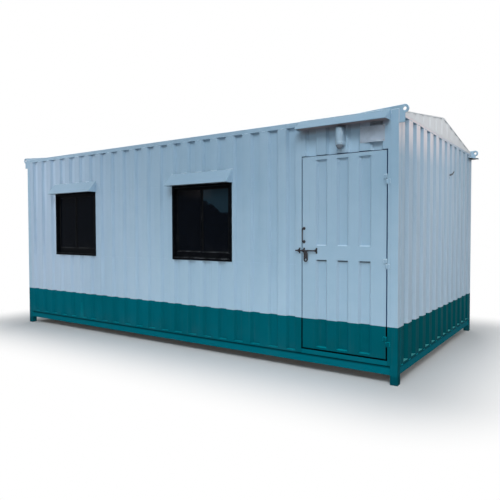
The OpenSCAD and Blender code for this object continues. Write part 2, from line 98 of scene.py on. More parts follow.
class CabinPaint(PropertyGroup):
    """Colours, wear and painted light and shade of the painted steel."""

    wall: tint("Wall", "Paint of the walls", (0.608, 0.715, 0.795))
    wall_shade: tint("Wall shade", "Darker tone that drifts through the wall paint",
                     (0.553, 0.675, 0.762))
    band: tint("Band", "Paint of the band round the foot", (0.0, 0.350, 0.412))
    band_shade: tint("Band shade", "Darker tone of the band", (0.0, 0.302, 0.348))
    band_top: size("Band top", "Height of the band's upper edge above the ground", 0.545)
    band_waver: size("Band waver", "How far the hand-cut edge of the band wanders", 0.005)
    dust: tint("Dust", "Dust thrown up round the foot", (0.400, 0.430, 0.410))
    dust_top: size("Dust height", "Height that the dust reaches", 0.420)
    grime: tint("Grime", "Rain streaks and dirt in the corners", (0.300, 0.330, 0.350))
    streaks: share("Streaks", "Strength of the rain streaks", 0.16)
    # Painted shade under hoods and lugs, near black
    primer: tint("Primer", "Bare underside of the hoods", (0.060, 0.070, 0.090))
    rust: tint("Rust", "Rust where paint has chipped", (0.300, 0.170, 0.110))
    # Painted shade: darker band on the right end
    end_band_shade: tint("Band deep", "Duller band of the right wall", (0.0, 0.220, 0.230))
    # Painted light: paler paint laid in flute floors and over shaded parts, standing in for light
    # that the shade takes away
    wall_painted_light: tint("Wall light", "Fresher wall paint in the flutes", (0.660, 0.775, 0.855))
    band_painted_light: tint("Band light", "Fresher band paint in the flutes", (0.0, 0.380, 0.445))
    # Painted light: pale, redder paint towards the left end of the front wall
    wall_left_light: tint("Wall left", "Paler, redder paint towards the left end", (0.680, 0.700, 0.795))
    # Painted shade on faces turned down; below it, painted highlights on faces turned up
    under: tint("Under", "Dirt on downward faces", (0.070, 0.095, 0.125))
    wall_top_light: tint("Wall ledge", "Wall paint on upward faces", (0.830, 0.920, 0.970))
    band_top_light: tint("Band ledge", "Band paint on upward faces", (0.0, 0.590, 0.650))
    # Painted highlight on upward faces in the band of the right end
    end_band_top_light: tint("End ledge", "Band paint on upward faces of the right wall",
                    (0.350, 0.720, 0.730))
    # Painted shade in the gap round the door, on the wall and, below, in the band
    gap: tint("Gap", "Dark edges in the gap round the door", (0.090, 0.280, 0.470))
    # Painted shadow where the walls overhang the base; the same colour darkens the feet below the
    # base
    seam: tint("Seam", "Dirt where the walls meet the base, and on the feet", (0.0, 0.130, 0.155))
    # Painted shadow under the canopy, also the colour of the canopy's dark shade sheet
    canopy_shadow: tint("Soot", "Dirt under the canopy", (0.480, 0.445, 0.460))
    # Painted shade on flanks that the key lamp lights more than the crests
    wall_flank_shade: tint("Wall turned", "Duller wall paint on flanks turned to the sun",
                      (0.535, 0.640, 0.720))
    band_gap_shade: tint("Band gap", "Gap round the door inside the band", (0.0, 0.030, 0.045))
    # Painted highlight on the right wall above the band, strongest on crests high up towards the
    # front
    bleached: tint("Bleached", "Sun-bleached crests of the right wall", (0.870, 0.855, 0.870))
    lining: tint("Lining", "Boards on the inside of the walls", (0.800, 0.790, 0.750))
    roof: tint("Roof", "Sheets of roof and gables", (0.820, 0.850, 0.872))
    roof_shade: tint("Roof shade", "Weathered tone of the roof", (0.770, 0.800, 0.820))
    scrape_from: place("Scrape from", "Upper end of the scrape on the right wall",
                       (3.05, 0.668, 2.238))
    scrape_to: place("Scrape to", "Lower end of the scrape on the right wall", (3.05, 0.350, 2.097))
    scrape_width: size("Scrape width", "Half width of the scrape", 0.014)


class CabinGlazing(PropertyGroup):
    """Windows, their seals and fittings."""

    metal: tint("Frame", "Dark coated frames", (0.022, 0.031, 0.048))
    glass: tint("Glass", "Tinted panes", (0.026, 0.042, 0.068))
    # Dust on upward faces of frames and rubber, pale enough to also stand for a painted glint
    dust: tint("Dust", "Dust on ledges and rubber", (0.660, 0.690, 0.720))
    # Colour of the painted sky reflection on the right pane of the right window
    film: tint("Film", "Bluish film on the outer sash of the right window", (0.098, 0.165, 0.205))
    gasket: size("Gasket", "Width of the rubber round a pane", 0.009)
    track: size("Track", "Height of the sill's track ribs", 0.009)
    latch: size("Latch", "Length of the latch on the inner sash", 0.070)
    pull: size("Pull", "Length of the pull on the outer sash", 0.120)


class CabinFittings(PropertyGroup):
    """Door furniture, lamp and plate."""

    steel: tint("Steel", "Rubbed bare steel", (0.220, 0.220, 0.240))
    rust_dark: tint("Dark rust", "Old rust", (0.030, 0.035, 0.060))
    rust_light: tint("Light rust", "Fresh rust", (0.065, 0.060, 0.080))
    lamp: tint("Lamp", "Lamp housing", (0.570, 0.675, 0.750))
    lens: tint("Lens", "Smoked lens under the lamp", (0.400, 0.450, 0.500))
    plate: tint("Plate", "Bare plate over the door", (0.590, 0.650, 0.715))
    zinc: tint("Zinc", "Screws and rivets", (0.560, 0.570, 0.580))
    plate_left: size("Plate left", "Plate's left edge from the cabin's left corner", 5.712)
    plate_width: size("Plate width", "Width of the plate", 0.252)
    plate_foot: size("Plate foot", "Lower edge of the plate above the ground", 2.282)
    plate_height: size("Plate height", "Height of the plate", 0.156)
    plate_curl: size("Plate curl", "How far the plate's lower edge has lifted", 0.014)
    seal: size("Seal", "Width of the rubber seal behind the door", 0.011)
    stop_gap: size("Stop gap", "Distance from the closed leaf to its stops", 0.005)
    rosette: size("Rosette", "Radius of the handle's foot plates", 0.017)
    knuckle: size("Knuckle", "Height of one half of a hinge", 0.044)
    lens_height: size("Lens height", "Height of the lens under the lamp", 0.044)


class CabinTrims(PropertyGroup):
    """Roof fixings, folded trims, hems and rivets."""

    screw_rows: IntProperty(name="Screw rows", description="Rows of screws on a slope",
                            default=4, min=2)
    washer: size("Washer", "Radius of a screw's washer", 0.011)
    cap_screw_in: size("Cap screws", "Distance of the ridge cap's screws from the ridge", 0.145)
    verge: size("Verge", "Width of the trim over a gable", 0.066)
    verge_drop: size("Verge drop", "How far the trim hangs over a gable's face", 0.007)
    verge_lift: size("Verge lift", "Height of the trim over a gable's slope", 0.0)
    apron: size("Apron", "How far a gable's foot laps over the end rail", 0.026)
    sheet: size("Sheet", "Thickness of folded trims", 0.0025)
    hem: size("Hem", "Radius of the hems along hoods and canopy", 0.0065)
    # The shade soffits are dark sheets that stand for the shade inside hoods and canopy
    shade_soffit: size("Soffit", "Height of the closing sheet inside hoods and canopy", 0.008)
    rivet: size("Rivet", "Radius of a rivet's head", 0.005)
    rivet_in: size("Rivet line", "Distance of the rivets from a hood's upper edge", 0.014)


class CabinWelds(PropertyGroup):
    """Welds of walls, frame and lugs."""

    bead: size("Bead", "Radius of a weld bead", 0.0040)
    ripple: size("Ripple", "Distance from one ripple to the next", 0.0060)
    stitch: size("Stitch", "Length of a stitch on a crest", 0.050)


class CabinRoom(PropertyGroup):
    """Trims inside the room."""

    strip: size("Strip", "Width of the strips over the lining's joints", 0.045)
    strip_depth: size("Strip depth", "Thickness of the strips", 0.008)
    board: size("Board", "Distance from joint to joint", 1.220)
    skirting: size("Skirting", "Height of the skirting", 0.080)
    vinyl: tint("Vinyl", "Floor covering", (0.430, 0.420, 0.400))
    ceiling: tint("Ceiling", "Ceiling boards", (0.850, 0.850, 0.830))


class CabinStage(PropertyGroup):
    """Camera, floor and light."""

    eye: place("Eye", "Where the camera stands", (4.588, -5.782, 1.441))
    heading: FloatProperty(name="Heading",
                           description="Turn of the camera from the rear wall's normal",
                           default=math.radians(32.352), subtype="ANGLE", unit="ROTATION")
    pitch: FloatProperty(name="Pitch", description="Tilt of the camera",
                         default=math.radians(-1.678), subtype="ANGLE", unit="ROTATION")
    lens: FloatProperty(name="Lens", description="Focal length in millimetres",
                        default=34.965, min=1.0)
    shift_x: FloatProperty(name="Shift X", description="Sideways shift of the frame",
                           default=-0.0772)
    shift_y: FloatProperty(name="Shift Y", description="Upward shift of the frame",
                           default=-0.0089)
    floor: tint("Floor", "Pale studio floor", (0.930, 0.935, 0.940))
    sky: FloatProperty(name="Sky", description="Strength of the even light", default=0.22, min=0.0)
    clear_from: size("Clear from", "Distance from the cabin at which the floor starts to fade out",
                     0.02)
    clear_to: size("Clear to", "Distance from the cabin at which the floor is plain white", 1.4)


def linear(colour):
    """A screen colour as the shader's linear one, with its alpha."""
    return [c / 12.92 if c <= 0.04045 else ((c + 0.055) / 1.055) ** 2.4 for c in colour] + [1.0]


class Nodes:
    """A node tree under construction, with short calls for what is common in it."""

    def __init__(self, tree):
        self.tree = tree

    def add(self, kind, *values, **settings):
        """A new node with its settings, and values for its first inputs."""
        node = self.tree.nodes.new(kind)
        for key, value in settings.items():
            setattr(node, key, value)
        for socket, value in zip(node.inputs, values):
            self.plug(socket, value)
        return node

    def plug(self, socket, value):
        """Links an input or sets it; None leaves it as it is."""
        if isinstance(value, bpy.types.NodeSocket):
            self.tree.links.new(value, socket)
        elif value is not None:
            socket.default_value = value

    def math(self, operation, first, second=None):
        return self.add("ShaderNodeMath", first, second, operation=operation).outputs[0]

    def both(self, *masks):
        """Where all of the masks hold: their product."""
        return functools.reduce(lambda one, other: self.math("MULTIPLY", one, other), masks)

    def most(self, *masks):
        """Where any of the masks holds: the strongest of them."""
        return functools.reduce(lambda one, other: self.math("MAXIMUM", one, other), masks)

    def seen(self):
        """1 on rays that show the background: straight, mirrored or through glass."""
        path = self.add("ShaderNodeLightPath").outputs
        return self.most(path["Is Camera Ray"], path["Is Glossy Ray"], path["Is Transmission Ray"])

    def blend(self, amount, first, second, output):
        """Sends a blend of two shaders to the tree's output."""
        node = self.add("ShaderNodeMixShader", amount, first.outputs[0], second.outputs[0])
        self.plug(self.tree.nodes[output].inputs[0], node.outputs[0])


class Finish(Nodes):
    """A material under construction, laid out in the part's own coordinates."""

    def __init__(self, name):
        self.material = bpy.data.materials.new(name)
        self.material.use_nodes = True
        super().__init__(self.material.node_tree)
        self.shader = self.tree.nodes["Principled BSDF"]
        coordinates = self.add("ShaderNodeTexCoord").outputs
        self.here = coordinates["Object"]
        self.x, self.y, self.z = self.add("ShaderNodeSeparateXYZ", self.here).outputs
        normal = self.add("ShaderNodeSeparateXYZ", coordinates["Normal"])
        self.turn_x, self.turn_y, self.turn_z = normal.outputs

    def vector(self, operation, first, second=None, result="Vector"):
        return self.add("ShaderNodeVectorMath", first, second, operation=operation).outputs[result]

    def noise(self, scale, detail, stretch=(1.0, 1.0, 1.0)):
        """Noise in cycles a metre, from 0 to 1, stretched along the axes."""
        where = self.vector("MULTIPLY", self.here, stretch)
        node = self.add("ShaderNodeTexNoise", where)
        self.plug(node.inputs["Scale"], scale)
        self.plug(node.inputs["Detail"], detail)
        return node.outputs[0]

    def ramp(self, value, low, high, start=0.0, end=1.0):
        """Smooth step of a value from start at low to end at high."""
        node = self.add("ShaderNodeMapRange", value, low, high, start, end)
        node.interpolation_type = "SMOOTHSTEP"
        return node.outputs[0]

    def mix(self, amount, first, second):
        """First colour at 0, second at 1."""
        node = self.add("ShaderNodeMix", amount, data_type="RGBA", clamp_result=True)
        self.plug(node.inputs[6], first)
        self.plug(node.inputs[7], second)
        return node.outputs[2]

    def past(self, value, middle, half):
        """How far a value lies past a stretch, below 0 inside it."""
        off = self.math("ABSOLUTE", self.math("SUBTRACT", value, middle))
        return self.math("SUBTRACT", off, half)

    def bump(self, *layers):
        """Bump from pairs of height and depth in metres, laid over each other."""
        below = None
        for height, depth in layers:
            node = self.add("ShaderNodeBump")
            self.plug(node.inputs["Distance"], depth)
            self.plug(node.inputs["Height"], height)
            if below is not None:
                self.plug(node.inputs["Normal"], below)
            below = node.outputs[0]
        self.plug(self.shader.inputs["Normal"], below)

    def done(self, colour, roughness, **constants):
        """The finished material; constants go to the shader's inputs of those names."""
        self.plug(self.shader.inputs["Base Color"], colour)
        self.plug(self.shader.inputs["Roughness"], roughness)
        for name, value in constants.items():
            self.shader.inputs[name.replace("_", " ")].default_value = value
        return self.material


class Paint(Finish):
    """The cabin's two-tone paint, laid coat by coat: tone, weather, the marks of a place, and
    painted light and shade.
    """

    # Half width of the band's soft edge, and how far from the leaf the middle of its gap lies
    BAND_BLUR = 0.0015
    GAP_MIDDLE = 0.005

    def __init__(self, name, paint):
        super().__init__(name)
        self.paint = paint
        drift = self.ramp(self.noise(0.55, 2.0), 0.35, 0.68)
        self.fine = self.ramp(self.noise(7.0, 4.0), 0.30, 0.75)
        tone = self.math("ADD", self.both(drift, 0.75), self.both(self.fine, 0.25))
        waver = self.both(self.math("SUBTRACT", self.noise(3.5, 3.0), 0.5), paint.band_waver * 2)
        self.in_band = self.ramp(self.math("ADD", self.z, waver),
                                 paint.band_top + self.BAND_BLUR, paint.band_top - self.BAND_BLUR)
        self.on_wall = self.math("SUBTRACT", 1.0, self.in_band)
        wall = self.mix(tone, linear(paint.wall), linear(paint.wall_shade))
        band = self.mix(tone, linear(paint.band), linear(paint.band_shade))
        self.colour = self.mix(self.in_band, wall, band)
        # Painted light for flutes and shaded parts, painted highlight for upward faces, painted
        # shade for flanks turned to the key lamp
        self.light = self.two_tone(paint.wall_painted_light, paint.band_painted_light)
        self.ledge = self.two_tone(paint.wall_top_light, paint.band_top_light)
        self.dull = self.two_tone(paint.wall_flank_shade, paint.band_shade)
        self.weather()

    def two_tone(self, wall, band):
        """One screen colour on the wall and another in the band."""
        return self.mix(self.in_band, linear(wall), linear(band))

    def lay(self, amount, colour):
        """Lays a screen colour, or one from other nodes, over the paint so far."""
        if not isinstance(colour, bpy.types.NodeSocket):
            colour = linear(colour)
        self.colour = self.mix(amount, self.colour, colour)

    def weather(self):
        """Rain streaks, dust thrown up round the foot, and rust where paint has chipped."""
        paint = self.paint
        streak = self.ramp(self.noise(1.0, 4.0, (34.0, 34.0, 0.8)), 0.56, 0.78)
        patch = self.ramp(self.noise(0.9, 2.0), 0.40, 0.70)
        self.lay(self.both(streak, patch, paint.streaks), paint.grime)
        rise = self.ramp(self.z, paint.dust_top, BASE_FOOT)
        self.dusty = self.both(rise, self.ramp(self.noise(5.0, 5.0), 0.38, 0.72))
        self.lay(self.both(self.dusty, 0.09), paint.dust)
        chip = self.ramp(self.noise(46.0, 5.0), 0.735, 0.755)
        low = self.ramp(self.z, 0.30, 0.05)
        high = self.ramp(self.z, RAIL_FOOT - 0.08, RAIL_TOP, 0.0, 0.8)
        self.chipped = self.both(chip, self.most(low, high))
        self.lay(self.chipped, paint.rust)

    def ledges(self, under=0.20, upper=1.0, lower=1.0):
        """Painted highlight on upward faces and painted shade under downward ones, each within a
        mask.
        """
        self.lay(self.both(self.ramp(self.turn_z, 0.03, 0.25), upper), self.ledge)
        shaded_below = self.ramp(self.turn_z, -0.03, -0.15, 0.0, under)
        self.lay(self.both(shaded_below, lower), self.paint.under)

    def flutes(self, deep=0.0, away=0.0, fresh=0.0, aside=1.0):
        """Painted light in flute floors, over whole parts and on flanks turned left, away from the
        key lamp; painted shade on flanks turned right, towards it.
        """
        floor = self.both(self.ramp(self.y, FRONT + 0.004, FRONT + 0.020), deep)
        left = self.ramp(self.turn_x, -0.2, -0.6, 0.0, away)
        self.lay(self.most(floor, fresh, left), self.light)
        self.lay(self.both(self.ramp(self.turn_x, 0.2, 0.6, 0.0, away), aside), self.dull)

    def feet(self):
        """Darker below the base, towards the ground."""
        low = self.ramp(self.z, BASE_FOOT + 0.012, BASE_FOOT - 0.02, 0.0, 0.4)
        self.lay(low, self.paint.seam)

    def canopy_shadow(self):
        """Painted shadow under the canopy."""
        low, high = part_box("door_canopy")
        under = self.both(self.ramp(self.z, low.z - 0.055, low.z + 0.002),
                          self.ramp(self.x, low.x - 0.02, low.x + 0.05),
                          self.ramp(self.x, high.x + 0.02, high.x - 0.04), 0.7)
        self.lay(under, self.paint.canopy_shadow)

    def door_marks(self):
        """Painted highlight and shade at the ends of the door's flutes, and painted shade in the
        gap round the leaf.
        """
        low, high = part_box("door_leaf")
        middle, half = (low + high) / 2, (high - low) / 2
        beside = self.past(self.x, middle.x, half.x)
        above = self.past(self.z, middle.z, half.z)
        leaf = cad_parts["door_leaf"].data.vertices
        # Foot and head of the lower row of flutes, then of the upper row
        ends = sorted({round(v.co.z, 3) for v in leaf if 0.020 < v.co.y - FRONT < 0.030})
        # Lower row: painted shadow under the flute heads
        self.flute_ends(beside, ends[0], ends[1], 0.020, 0.75, self.paint.under)
        # Upper row: painted light under the flute heads, offsetting their shade
        self.flute_ends(beside, ends[2], ends[3], 0.045, 0.50, self.light)
        # Painted shade in the gap round the leaf, lighter towards its left edge above the band
        off = self.past(self.most(beside, above), self.GAP_MIDDLE, self.both(self.in_band, 0.0025))
        gap = self.both(self.ramp(off, 0.0068, 0.0050),
                        self.ramp(self.y, FRONT - 0.002, FRONT + 0.0005))
        depth = self.ramp(self.x, middle.x - half.x * 0.8, middle.x, 0.4, 0.95)
        shadow = self.two_tone(self.paint.gap, self.paint.band_gap_shade)
        self.lay(self.both(gap, self.most(depth, self.in_band)), shadow)

    def flute_ends(self, beside, foot, head, reach, amount, colour):
        """Painted highlight on the feet of a row of the door's flutes, and a painted mark in the
        given colour under their heads.
        """
        pressed = self.both(self.ramp(self.y, FRONT + 0.006, FRONT + 0.018),
                            self.ramp(beside, -0.04, -0.05),
                            self.ramp(self.y, FRONT + 0.030, FRONT + 0.028),
                            self.ramp(self.z, foot - 0.004, foot - 0.002),
                            self.ramp(self.z, head + 0.004, head + 0.002))
        # Painted highlight where the flute's foot faces up
        worn = self.ramp(self.z, foot + 0.014, foot + 0.006, 0.0, 0.35)
        marked = self.ramp(self.z, head - reach, head - reach / 2, 0.0, amount)
        self.lay(self.both(pressed, worn), self.ledge)
        self.lay(self.both(pressed, marked), colour)

    def end_wall(self):
        """Painted highlight on crests and band ledges, painted shade on flanks and over the band,
        on faces turned to the right end.
        """
        paint = self.paint
        turned = self.ramp(self.turn_x, 0.15, 0.45)
        flank = self.most(self.ramp(self.turn_y, -0.2, -0.6, 0.0, 0.9),
                          self.ramp(self.x, RIGHT - 0.008, RIGHT - 0.028, 0.0, 0.5))
        # Painted shade on flanks facing the front, and half as much in the flute floors
        self.lay(self.both(turned, flank), self.dull)
        # Painted highlight, slight everywhere, strongest on crests high up towards the front
        sun = self.both(self.ramp(self.x, RIGHT - 0.008, RIGHT - 0.001),
                        self.ramp(self.z, 2.02, 2.50),
                        self.ramp(self.y, REAR - 0.3, FRONT + 0.4, 0.15, 1.0), 0.9)
        plain = self.ramp(self.x, RIGHT - 0.008, RIGHT - 0.001, 0.06, 0.14)
        self.lay(self.both(self.most(sun, plain), turned, self.on_wall), paint.bleached)
        # Painted shade over the band, then painted highlight on its upward faces
        self.lay(self.both(self.in_band, turned, 0.45), paint.end_band_shade)
        self.lay(self.both(self.in_band, self.ramp(self.turn_z, 0.10, 0.45)), paint.end_band_top_light)

    def scrape(self):
        """Ragged dark mark along a line, across crests and flutes alike."""
        start, wide = Vector(self.paint.scrape_from), self.paint.scrape_width
        along = Vector(self.paint.scrape_to) - start
        reach = self.vector("SUBTRACT", self.here, tuple(start))
        reach = self.vector("MULTIPLY", reach, (0.0, 1.0, 1.0))
        way = self.vector("DOT_PRODUCT", reach, tuple(along), "Value")
        way = self.math("DIVIDE", way, along.length_squared)
        nearest = self.add("ShaderNodeVectorMath", tuple(along), operation="SCALE")
        self.plug(nearest.inputs["Scale"], self.add("ShaderNodeClamp", way).outputs[0])
        off = self.vector("SUBTRACT", reach, nearest.outputs[0])
        off = self.vector("LENGTH", off, result="Value")
        ragged = self.math("ADD", off, self.both(self.noise(60.0, 3.0), wide))
        self.lay(self.ramp(ragged, wide * 1.6, wide), self.paint.grime)

    def lining(self):
        """Lining boards on every face inside the room."""
        inside = self.both(self.ramp(self.past(self.x, 0.0, ROOM_HIGH.x), 0.003, 0.002),
                           self.ramp(self.past(self.y, MIDDLE, ROOM_HIGH.y - MIDDLE), 0.003, 0.002),
                           self.ramp(self.z, FLOOR_TOP - 0.004, FLOOR_TOP - 0.003),
                           self.ramp(self.z, CEILING_FOOT + 0.014, CEILING_FOOT + 0.013))
        boards = linear(self.paint.lining), linear(self.paint.dust)
        self.lay(inside, self.mix(self.both(self.fine, 0.35), *boards))

    def dry(self):
        """The finished material: lining boards over all coats, then roughness, bump and gloss."""
        self.lining()
        worn = self.math("ADD", self.both(self.noise(22.0, 4.0), 0.16), self.both(self.dusty, 0.20))
        self.bump((self.noise(1.3, 2.0), 0.006), (self.noise(320.0, 2.0), 0.0002),
                  (self.chipped, -0.0006))
        self.plug(self.shader.inputs["Specular IOR Level"],
                  self.ramp(self.in_band, 0.0, 1.0, 0.5, 0.12))
        return self.done(self.colour, self.math("ADD", worn, 0.42), IOR=1.10)


def wall_paint(name, paint, right_end=False):
    """Paint of walls, posts and rails, with painted light and shade on ledges, and more painted
    light and shade and a scrape where they face the right end.
    """
    p = Paint(name, paint)
    p.ledges()
    p.feet()
    if right_end:
        p.end_wall()
        p.scrape()
    return p.dry()


def front_paint(name, paint):
    """Paint of the front wall, with painted light that grows towards its foot, in the flutes of its
    upper left and on flanks, and painted pale, redder light towards its left end.
    """
    p = Paint(name, paint)
    # Painted highlight on upward faces only near the foot, painted shade under downward faces only
    # below the rail
    p.ledges(upper=p.ramp(p.z, 0.42, 0.40),
             lower=p.ramp(p.z, RAIL_FOOT - 0.22, RAIL_FOOT - 0.20))
    # Painted light in the flute floors of the upper left, where the flutes lie in shade
    corner = p.both(p.ramp(p.x, -0.5, LEFT + 0.3, 0.0, 0.75), p.ramp(p.z, 1.4, 2.2))
    p.flutes(deep=p.most(corner, 0.12), away=0.6,
             fresh=p.ramp(p.z, 1.60, paint.band_top, 0.0, 0.22), aside=p.ramp(p.x, LEFT, 1.0))
    # Painted pale, redder light towards the left end
    p.lay(p.both(p.ramp(p.x, 0.5, LEFT, 0.0, 0.22), p.on_wall), paint.wall_left_light)
    p.feet()
    return p.dry()


def base_paint(name, paint):
    """Paint of the base, lifted with painted light, with a painted shadow along its top under the
    walls' overhanging foot.
    """
    p = Paint(name, paint)
    p.ledges()
    p.flutes(fresh=0.8)
    p.feet()
    # Painted shadow under the walls' overhanging foot
    p.lay(p.ramp(p.z, BASE_TOP - 0.036, BASE_TOP - 0.008, 0.0, 0.85), paint.seam)
    return p.dry()


def door_paint(name, paint, under=0.20, **flutes):
    """Paint of the door and what frames it, with painted light and shade on its flutes, ledges and
    gap, and a painted shadow under the canopy.
    """
    p = Paint(name, paint)
    # Painted shade under downward faces, less of it high up where the canopy's shadow falls
    p.ledges(under, lower=p.ramp(p.z, RAIL_FOOT - 0.6, RAIL_FOOT - 0.4, 1.0, 0.45))
    p.flutes(**flutes)
    p.feet()
    p.canopy_shadow()
    p.door_marks()
    return p.dry()


def hood_paint(name, paint, fresh=0.0):
    """Paint of hoods and lugs, with painted shade on faces turned down and a given lift of painted
    light.
    """
    p = Paint(name, paint)
    p.flutes(fresh=fresh)
    # Painted shade on faces turned down
    p.lay(p.ramp(p.turn_z, -0.05, -0.35), paint.primer)
    p.feet()
    return p.dry()


def roof_material(name, paint):
    """Weathered pale sheet with water marks down the slope."""
    f = Finish(name)
    drift = f.ramp(f.noise(0.8, 3.0), 0.35, 0.70)
    marks = f.ramp(f.noise(1.0, 4.0, (24.0, 1.5, 1.5)), 0.45, 0.80)
    colour = f.mix(drift, linear(paint.roof), linear(paint.roof_shade))
    colour = f.mix(f.both(marks, 0.16), colour, linear(paint.grime))
    speck = f.ramp(f.noise(60.0, 4.0), 0.72, 0.78)
    colour = f.mix(f.both(speck, 0.5), colour, linear(paint.dust))
    f.bump((f.noise(1.6, 2.0), 0.005), (f.noise(260.0, 2.0), 0.0002))
    return f.done(colour, f.math("ADD", f.both(drift, 0.15), 0.42), IOR=1.12)


def frame_material(name, glazing):
    """Dark coated metal with rubbed spots, and dust with a painted glint on upward faces, strongest
    on the right window.
    """
    f = Finish(name)
    dull = f.ramp(f.noise(18.0, 4.0), 0.40, 0.80)
    colour = f.mix(f.both(dull, 0.06), linear(glazing.metal), linear((0.30, 0.31, 0.32)))
    # Dust with a painted glint on upward faces, strongest on the right window
    dust_and_glint = f.both(f.ramp(f.turn_z, 0.3, 0.8), f.ramp(f.noise(9.0, 3.0), 0.40, 0.62, 0.15, 0.9),
                     f.ramp(f.x, -1.2, -0.2, 0.15, 1.0))
    colour = f.mix(dust_and_glint, colour, linear(glazing.dust))
    f.bump((f.noise(500.0, 2.0), 0.00012))
    return f.done(colour, f.math("ADD", f.both(dull, 0.2), 0.36), IOR=1.06)


def glass_material(name, glazing):
    """Dark tinted glass, dusty towards the sill, with a painted reflection of the sky at the right
    window's top.
    """
    f = Finish(name)
    film = f.both(f.ramp(f.noise(6.0, 4.0), 0.45, 0.80), f.ramp(f.z, 1.50, 1.05))
    colour = f.mix(f.both(film, 0.05), linear(glazing.glass), linear((0.40, 0.41, 0.42)))
    # Painted sky reflection with a ragged lower edge, on the right pane's upper part
    low, high = solids("window_glass_right")[-1]
    edge = f.math("ADD", f.both(f.math("SUBTRACT", f.x, low.x), 0.55), f.z)
    edge = f.math("ADD", edge, f.both(f.noise(7.0, 3.0), 0.16))
    sky_reflection = f.both(f.ramp(f.x, low.x - 0.002, low.x), f.ramp(edge, high.z - 0.07, high.z - 0.03),
                   f.ramp(f.z, high.z - 0.30, high.z - 0.27))
    colour = f.mix(sky_reflection, colour, linear(glazing.film))
    f.bump((f.noise(2.2, 1.0), 0.0008))
    return f.done(colour, f.math("ADD", f.both(film, 0.12), 0.06), IOR=1.06, Alpha=0.96)


def rust_material(name, fittings, rusty):
    """Handled steel: rust in patches, rubbed bright where hands and bolts pass."""
    f = Finish(name)
    patch = f.ramp(f.noise(38.0, 5.0), 0.62 - rusty * 0.3, 0.70)
    bloom = f.ramp(f.noise(140.0, 4.0), 0.40, 0.70)
    rust = f.mix(bloom, linear(fittings.rust_dark), linear(fittings.rust_light))
    colour = f.mix(patch, linear(fittings.steel), rust)
    f.bump((f.noise(420.0, 4.0), 0.0005), (patch, 0.0003))
    f.plug(f.shader.inputs["Metallic"], f.ramp(patch, 0.0, 1.0, 0.75, 0.05))
    return f.done(colour, f.ramp(patch, 0.0, 1.0, 0.42, 0.85))


def plain_material(name, colour, other, scale, roughness, amount, dust_and_glint=None, **constants):
    """A plain finish whose colour drifts towards another one, with a fine grain."""
    f = Finish(name)
    drift = f.ramp(f.noise(scale, 4.0), 0.35, 0.75)
    shade = f.mix(f.both(drift, amount), linear(colour), linear(other))
    # Dust with a painted glint on upward faces
    if dust_and_glint is not None:
        ledge = f.both(f.ramp(f.turn_z, 0.3, 0.8),
                       f.ramp(f.noise(9.0, 3.0), 0.40, 0.62, 0.1, 0.9))
        shade = f.mix(ledge, shade, linear(dust_and_glint))
    f.bump((f.noise(scale * 20.0, 3.0), 0.0002))
    return f.done(shade, f.math("ADD", f.both(drift, 0.12), roughness), **constants)


def facing(origin, right, up):
    """Matrix of a surface: local X right along it, Y up it and Z out of it."""
    right, up = Vector(right).normalized(), Vector(up).normalized()
    turn = Matrix((right, up, right.cross(up))).transposed().to_4x4()
    turn.translation = Vector(origin)
    return turn


def on_front(x, z, y=FRONT):
    """Matrix of the front wall's face at a point of it, or of a face behind or before it."""
    return facing((x, y, z), (1, 0, 0), (0, 0, 1))


def add_box(bm, low, high, bevel, steps=2):
    """Box between two corners with rounded edges."""
    low, high = Vector(low), Vector(high)
    made = bmesh.ops.create_cube(bm, size=1.0)["verts"]
    for v in made:
        v.co = Vector((low[i] if v.co[i] < 0 else high[i] for i in range(3)))
    edges = list({e for v in made for e in v.link_edges})
    bmesh.ops.bevel(bm, geom=edges, offset=bevel, segments=steps, affect="EDGES", profile=0.5)


def add_rings(bm, rings, closed=False):
    """Skin over rings of equal count, in order, capped at both ends or joined to a loop."""
    rows = [[bm.verts.new(p) for p in ring] for ring in rings]
    count = len(rows[0])
    pairs = list(zip(rows, rows[1:])) + ([(rows[-1], rows[0])] if closed else [])
    for a, b in pairs:
        for i in range(count):
            j = (i + 1) % count
            bm.faces.new((a[i], a[j], b[j], b[i]))
    if not closed:
        bm.faces.new(reversed(rows[0]))
        bm.faces.new(rows[-1])


def circle(radius, sides):
    """Points round the origin in the XY plane."""
    turns = [i * 2 * math.pi / sides for i in range(sides)]
    return [Vector((radius * math.cos(a), radius * math.sin(a), 0)) for a in turns]


def add_lathe(bm, profile, matrix, sides=16):
    """Solid of revolution from pairs of radius and height along the matrix's Z."""
    add_rings(bm, [[matrix @ (p + Vector((0, 0, h))) for p in circle(max(r, 1e-5), sides)]
                   for r, h in profile])


def add_tube(bm, points, radius, sides=8, closed=False):
    """Round bar along points, its rings square to the path."""
    points = [Vector(p) for p in points]
    count = len(points)
    rings, side = [], None
    for i, p in enumerate(points):
        before = points[i - 1] if i or closed else p
        after = points[(i + 1) % count] if i < count - 1 or closed else p
        along = (after - before).normalized()
        if side is None:
            side = along.orthogonal().normalized()
        side = (side - along * side.dot(along)).normalized()
        up = along.cross(side)
        rings.append([p + side * c.x + up * c.y for c in circle(radius, sides)])
    add_rings(bm, rings, closed)


def add_frame(bm, low, high, matrix, profile):
    """Mitred frame round a rectangle; the profile gives points of inset and height."""
    corners = ((low[0], low[1], 1, 1), (high[0], low[1], -1, 1),
               (high[0], high[1], -1, -1), (low[0], high[1], 1, -1))
    rings = [[matrix @ Vector((x + sx * i, y + sy * i, h)) for i, h in profile]
             for x, y, sx, sy in corners]
    add_rings(bm, rings, closed=True)


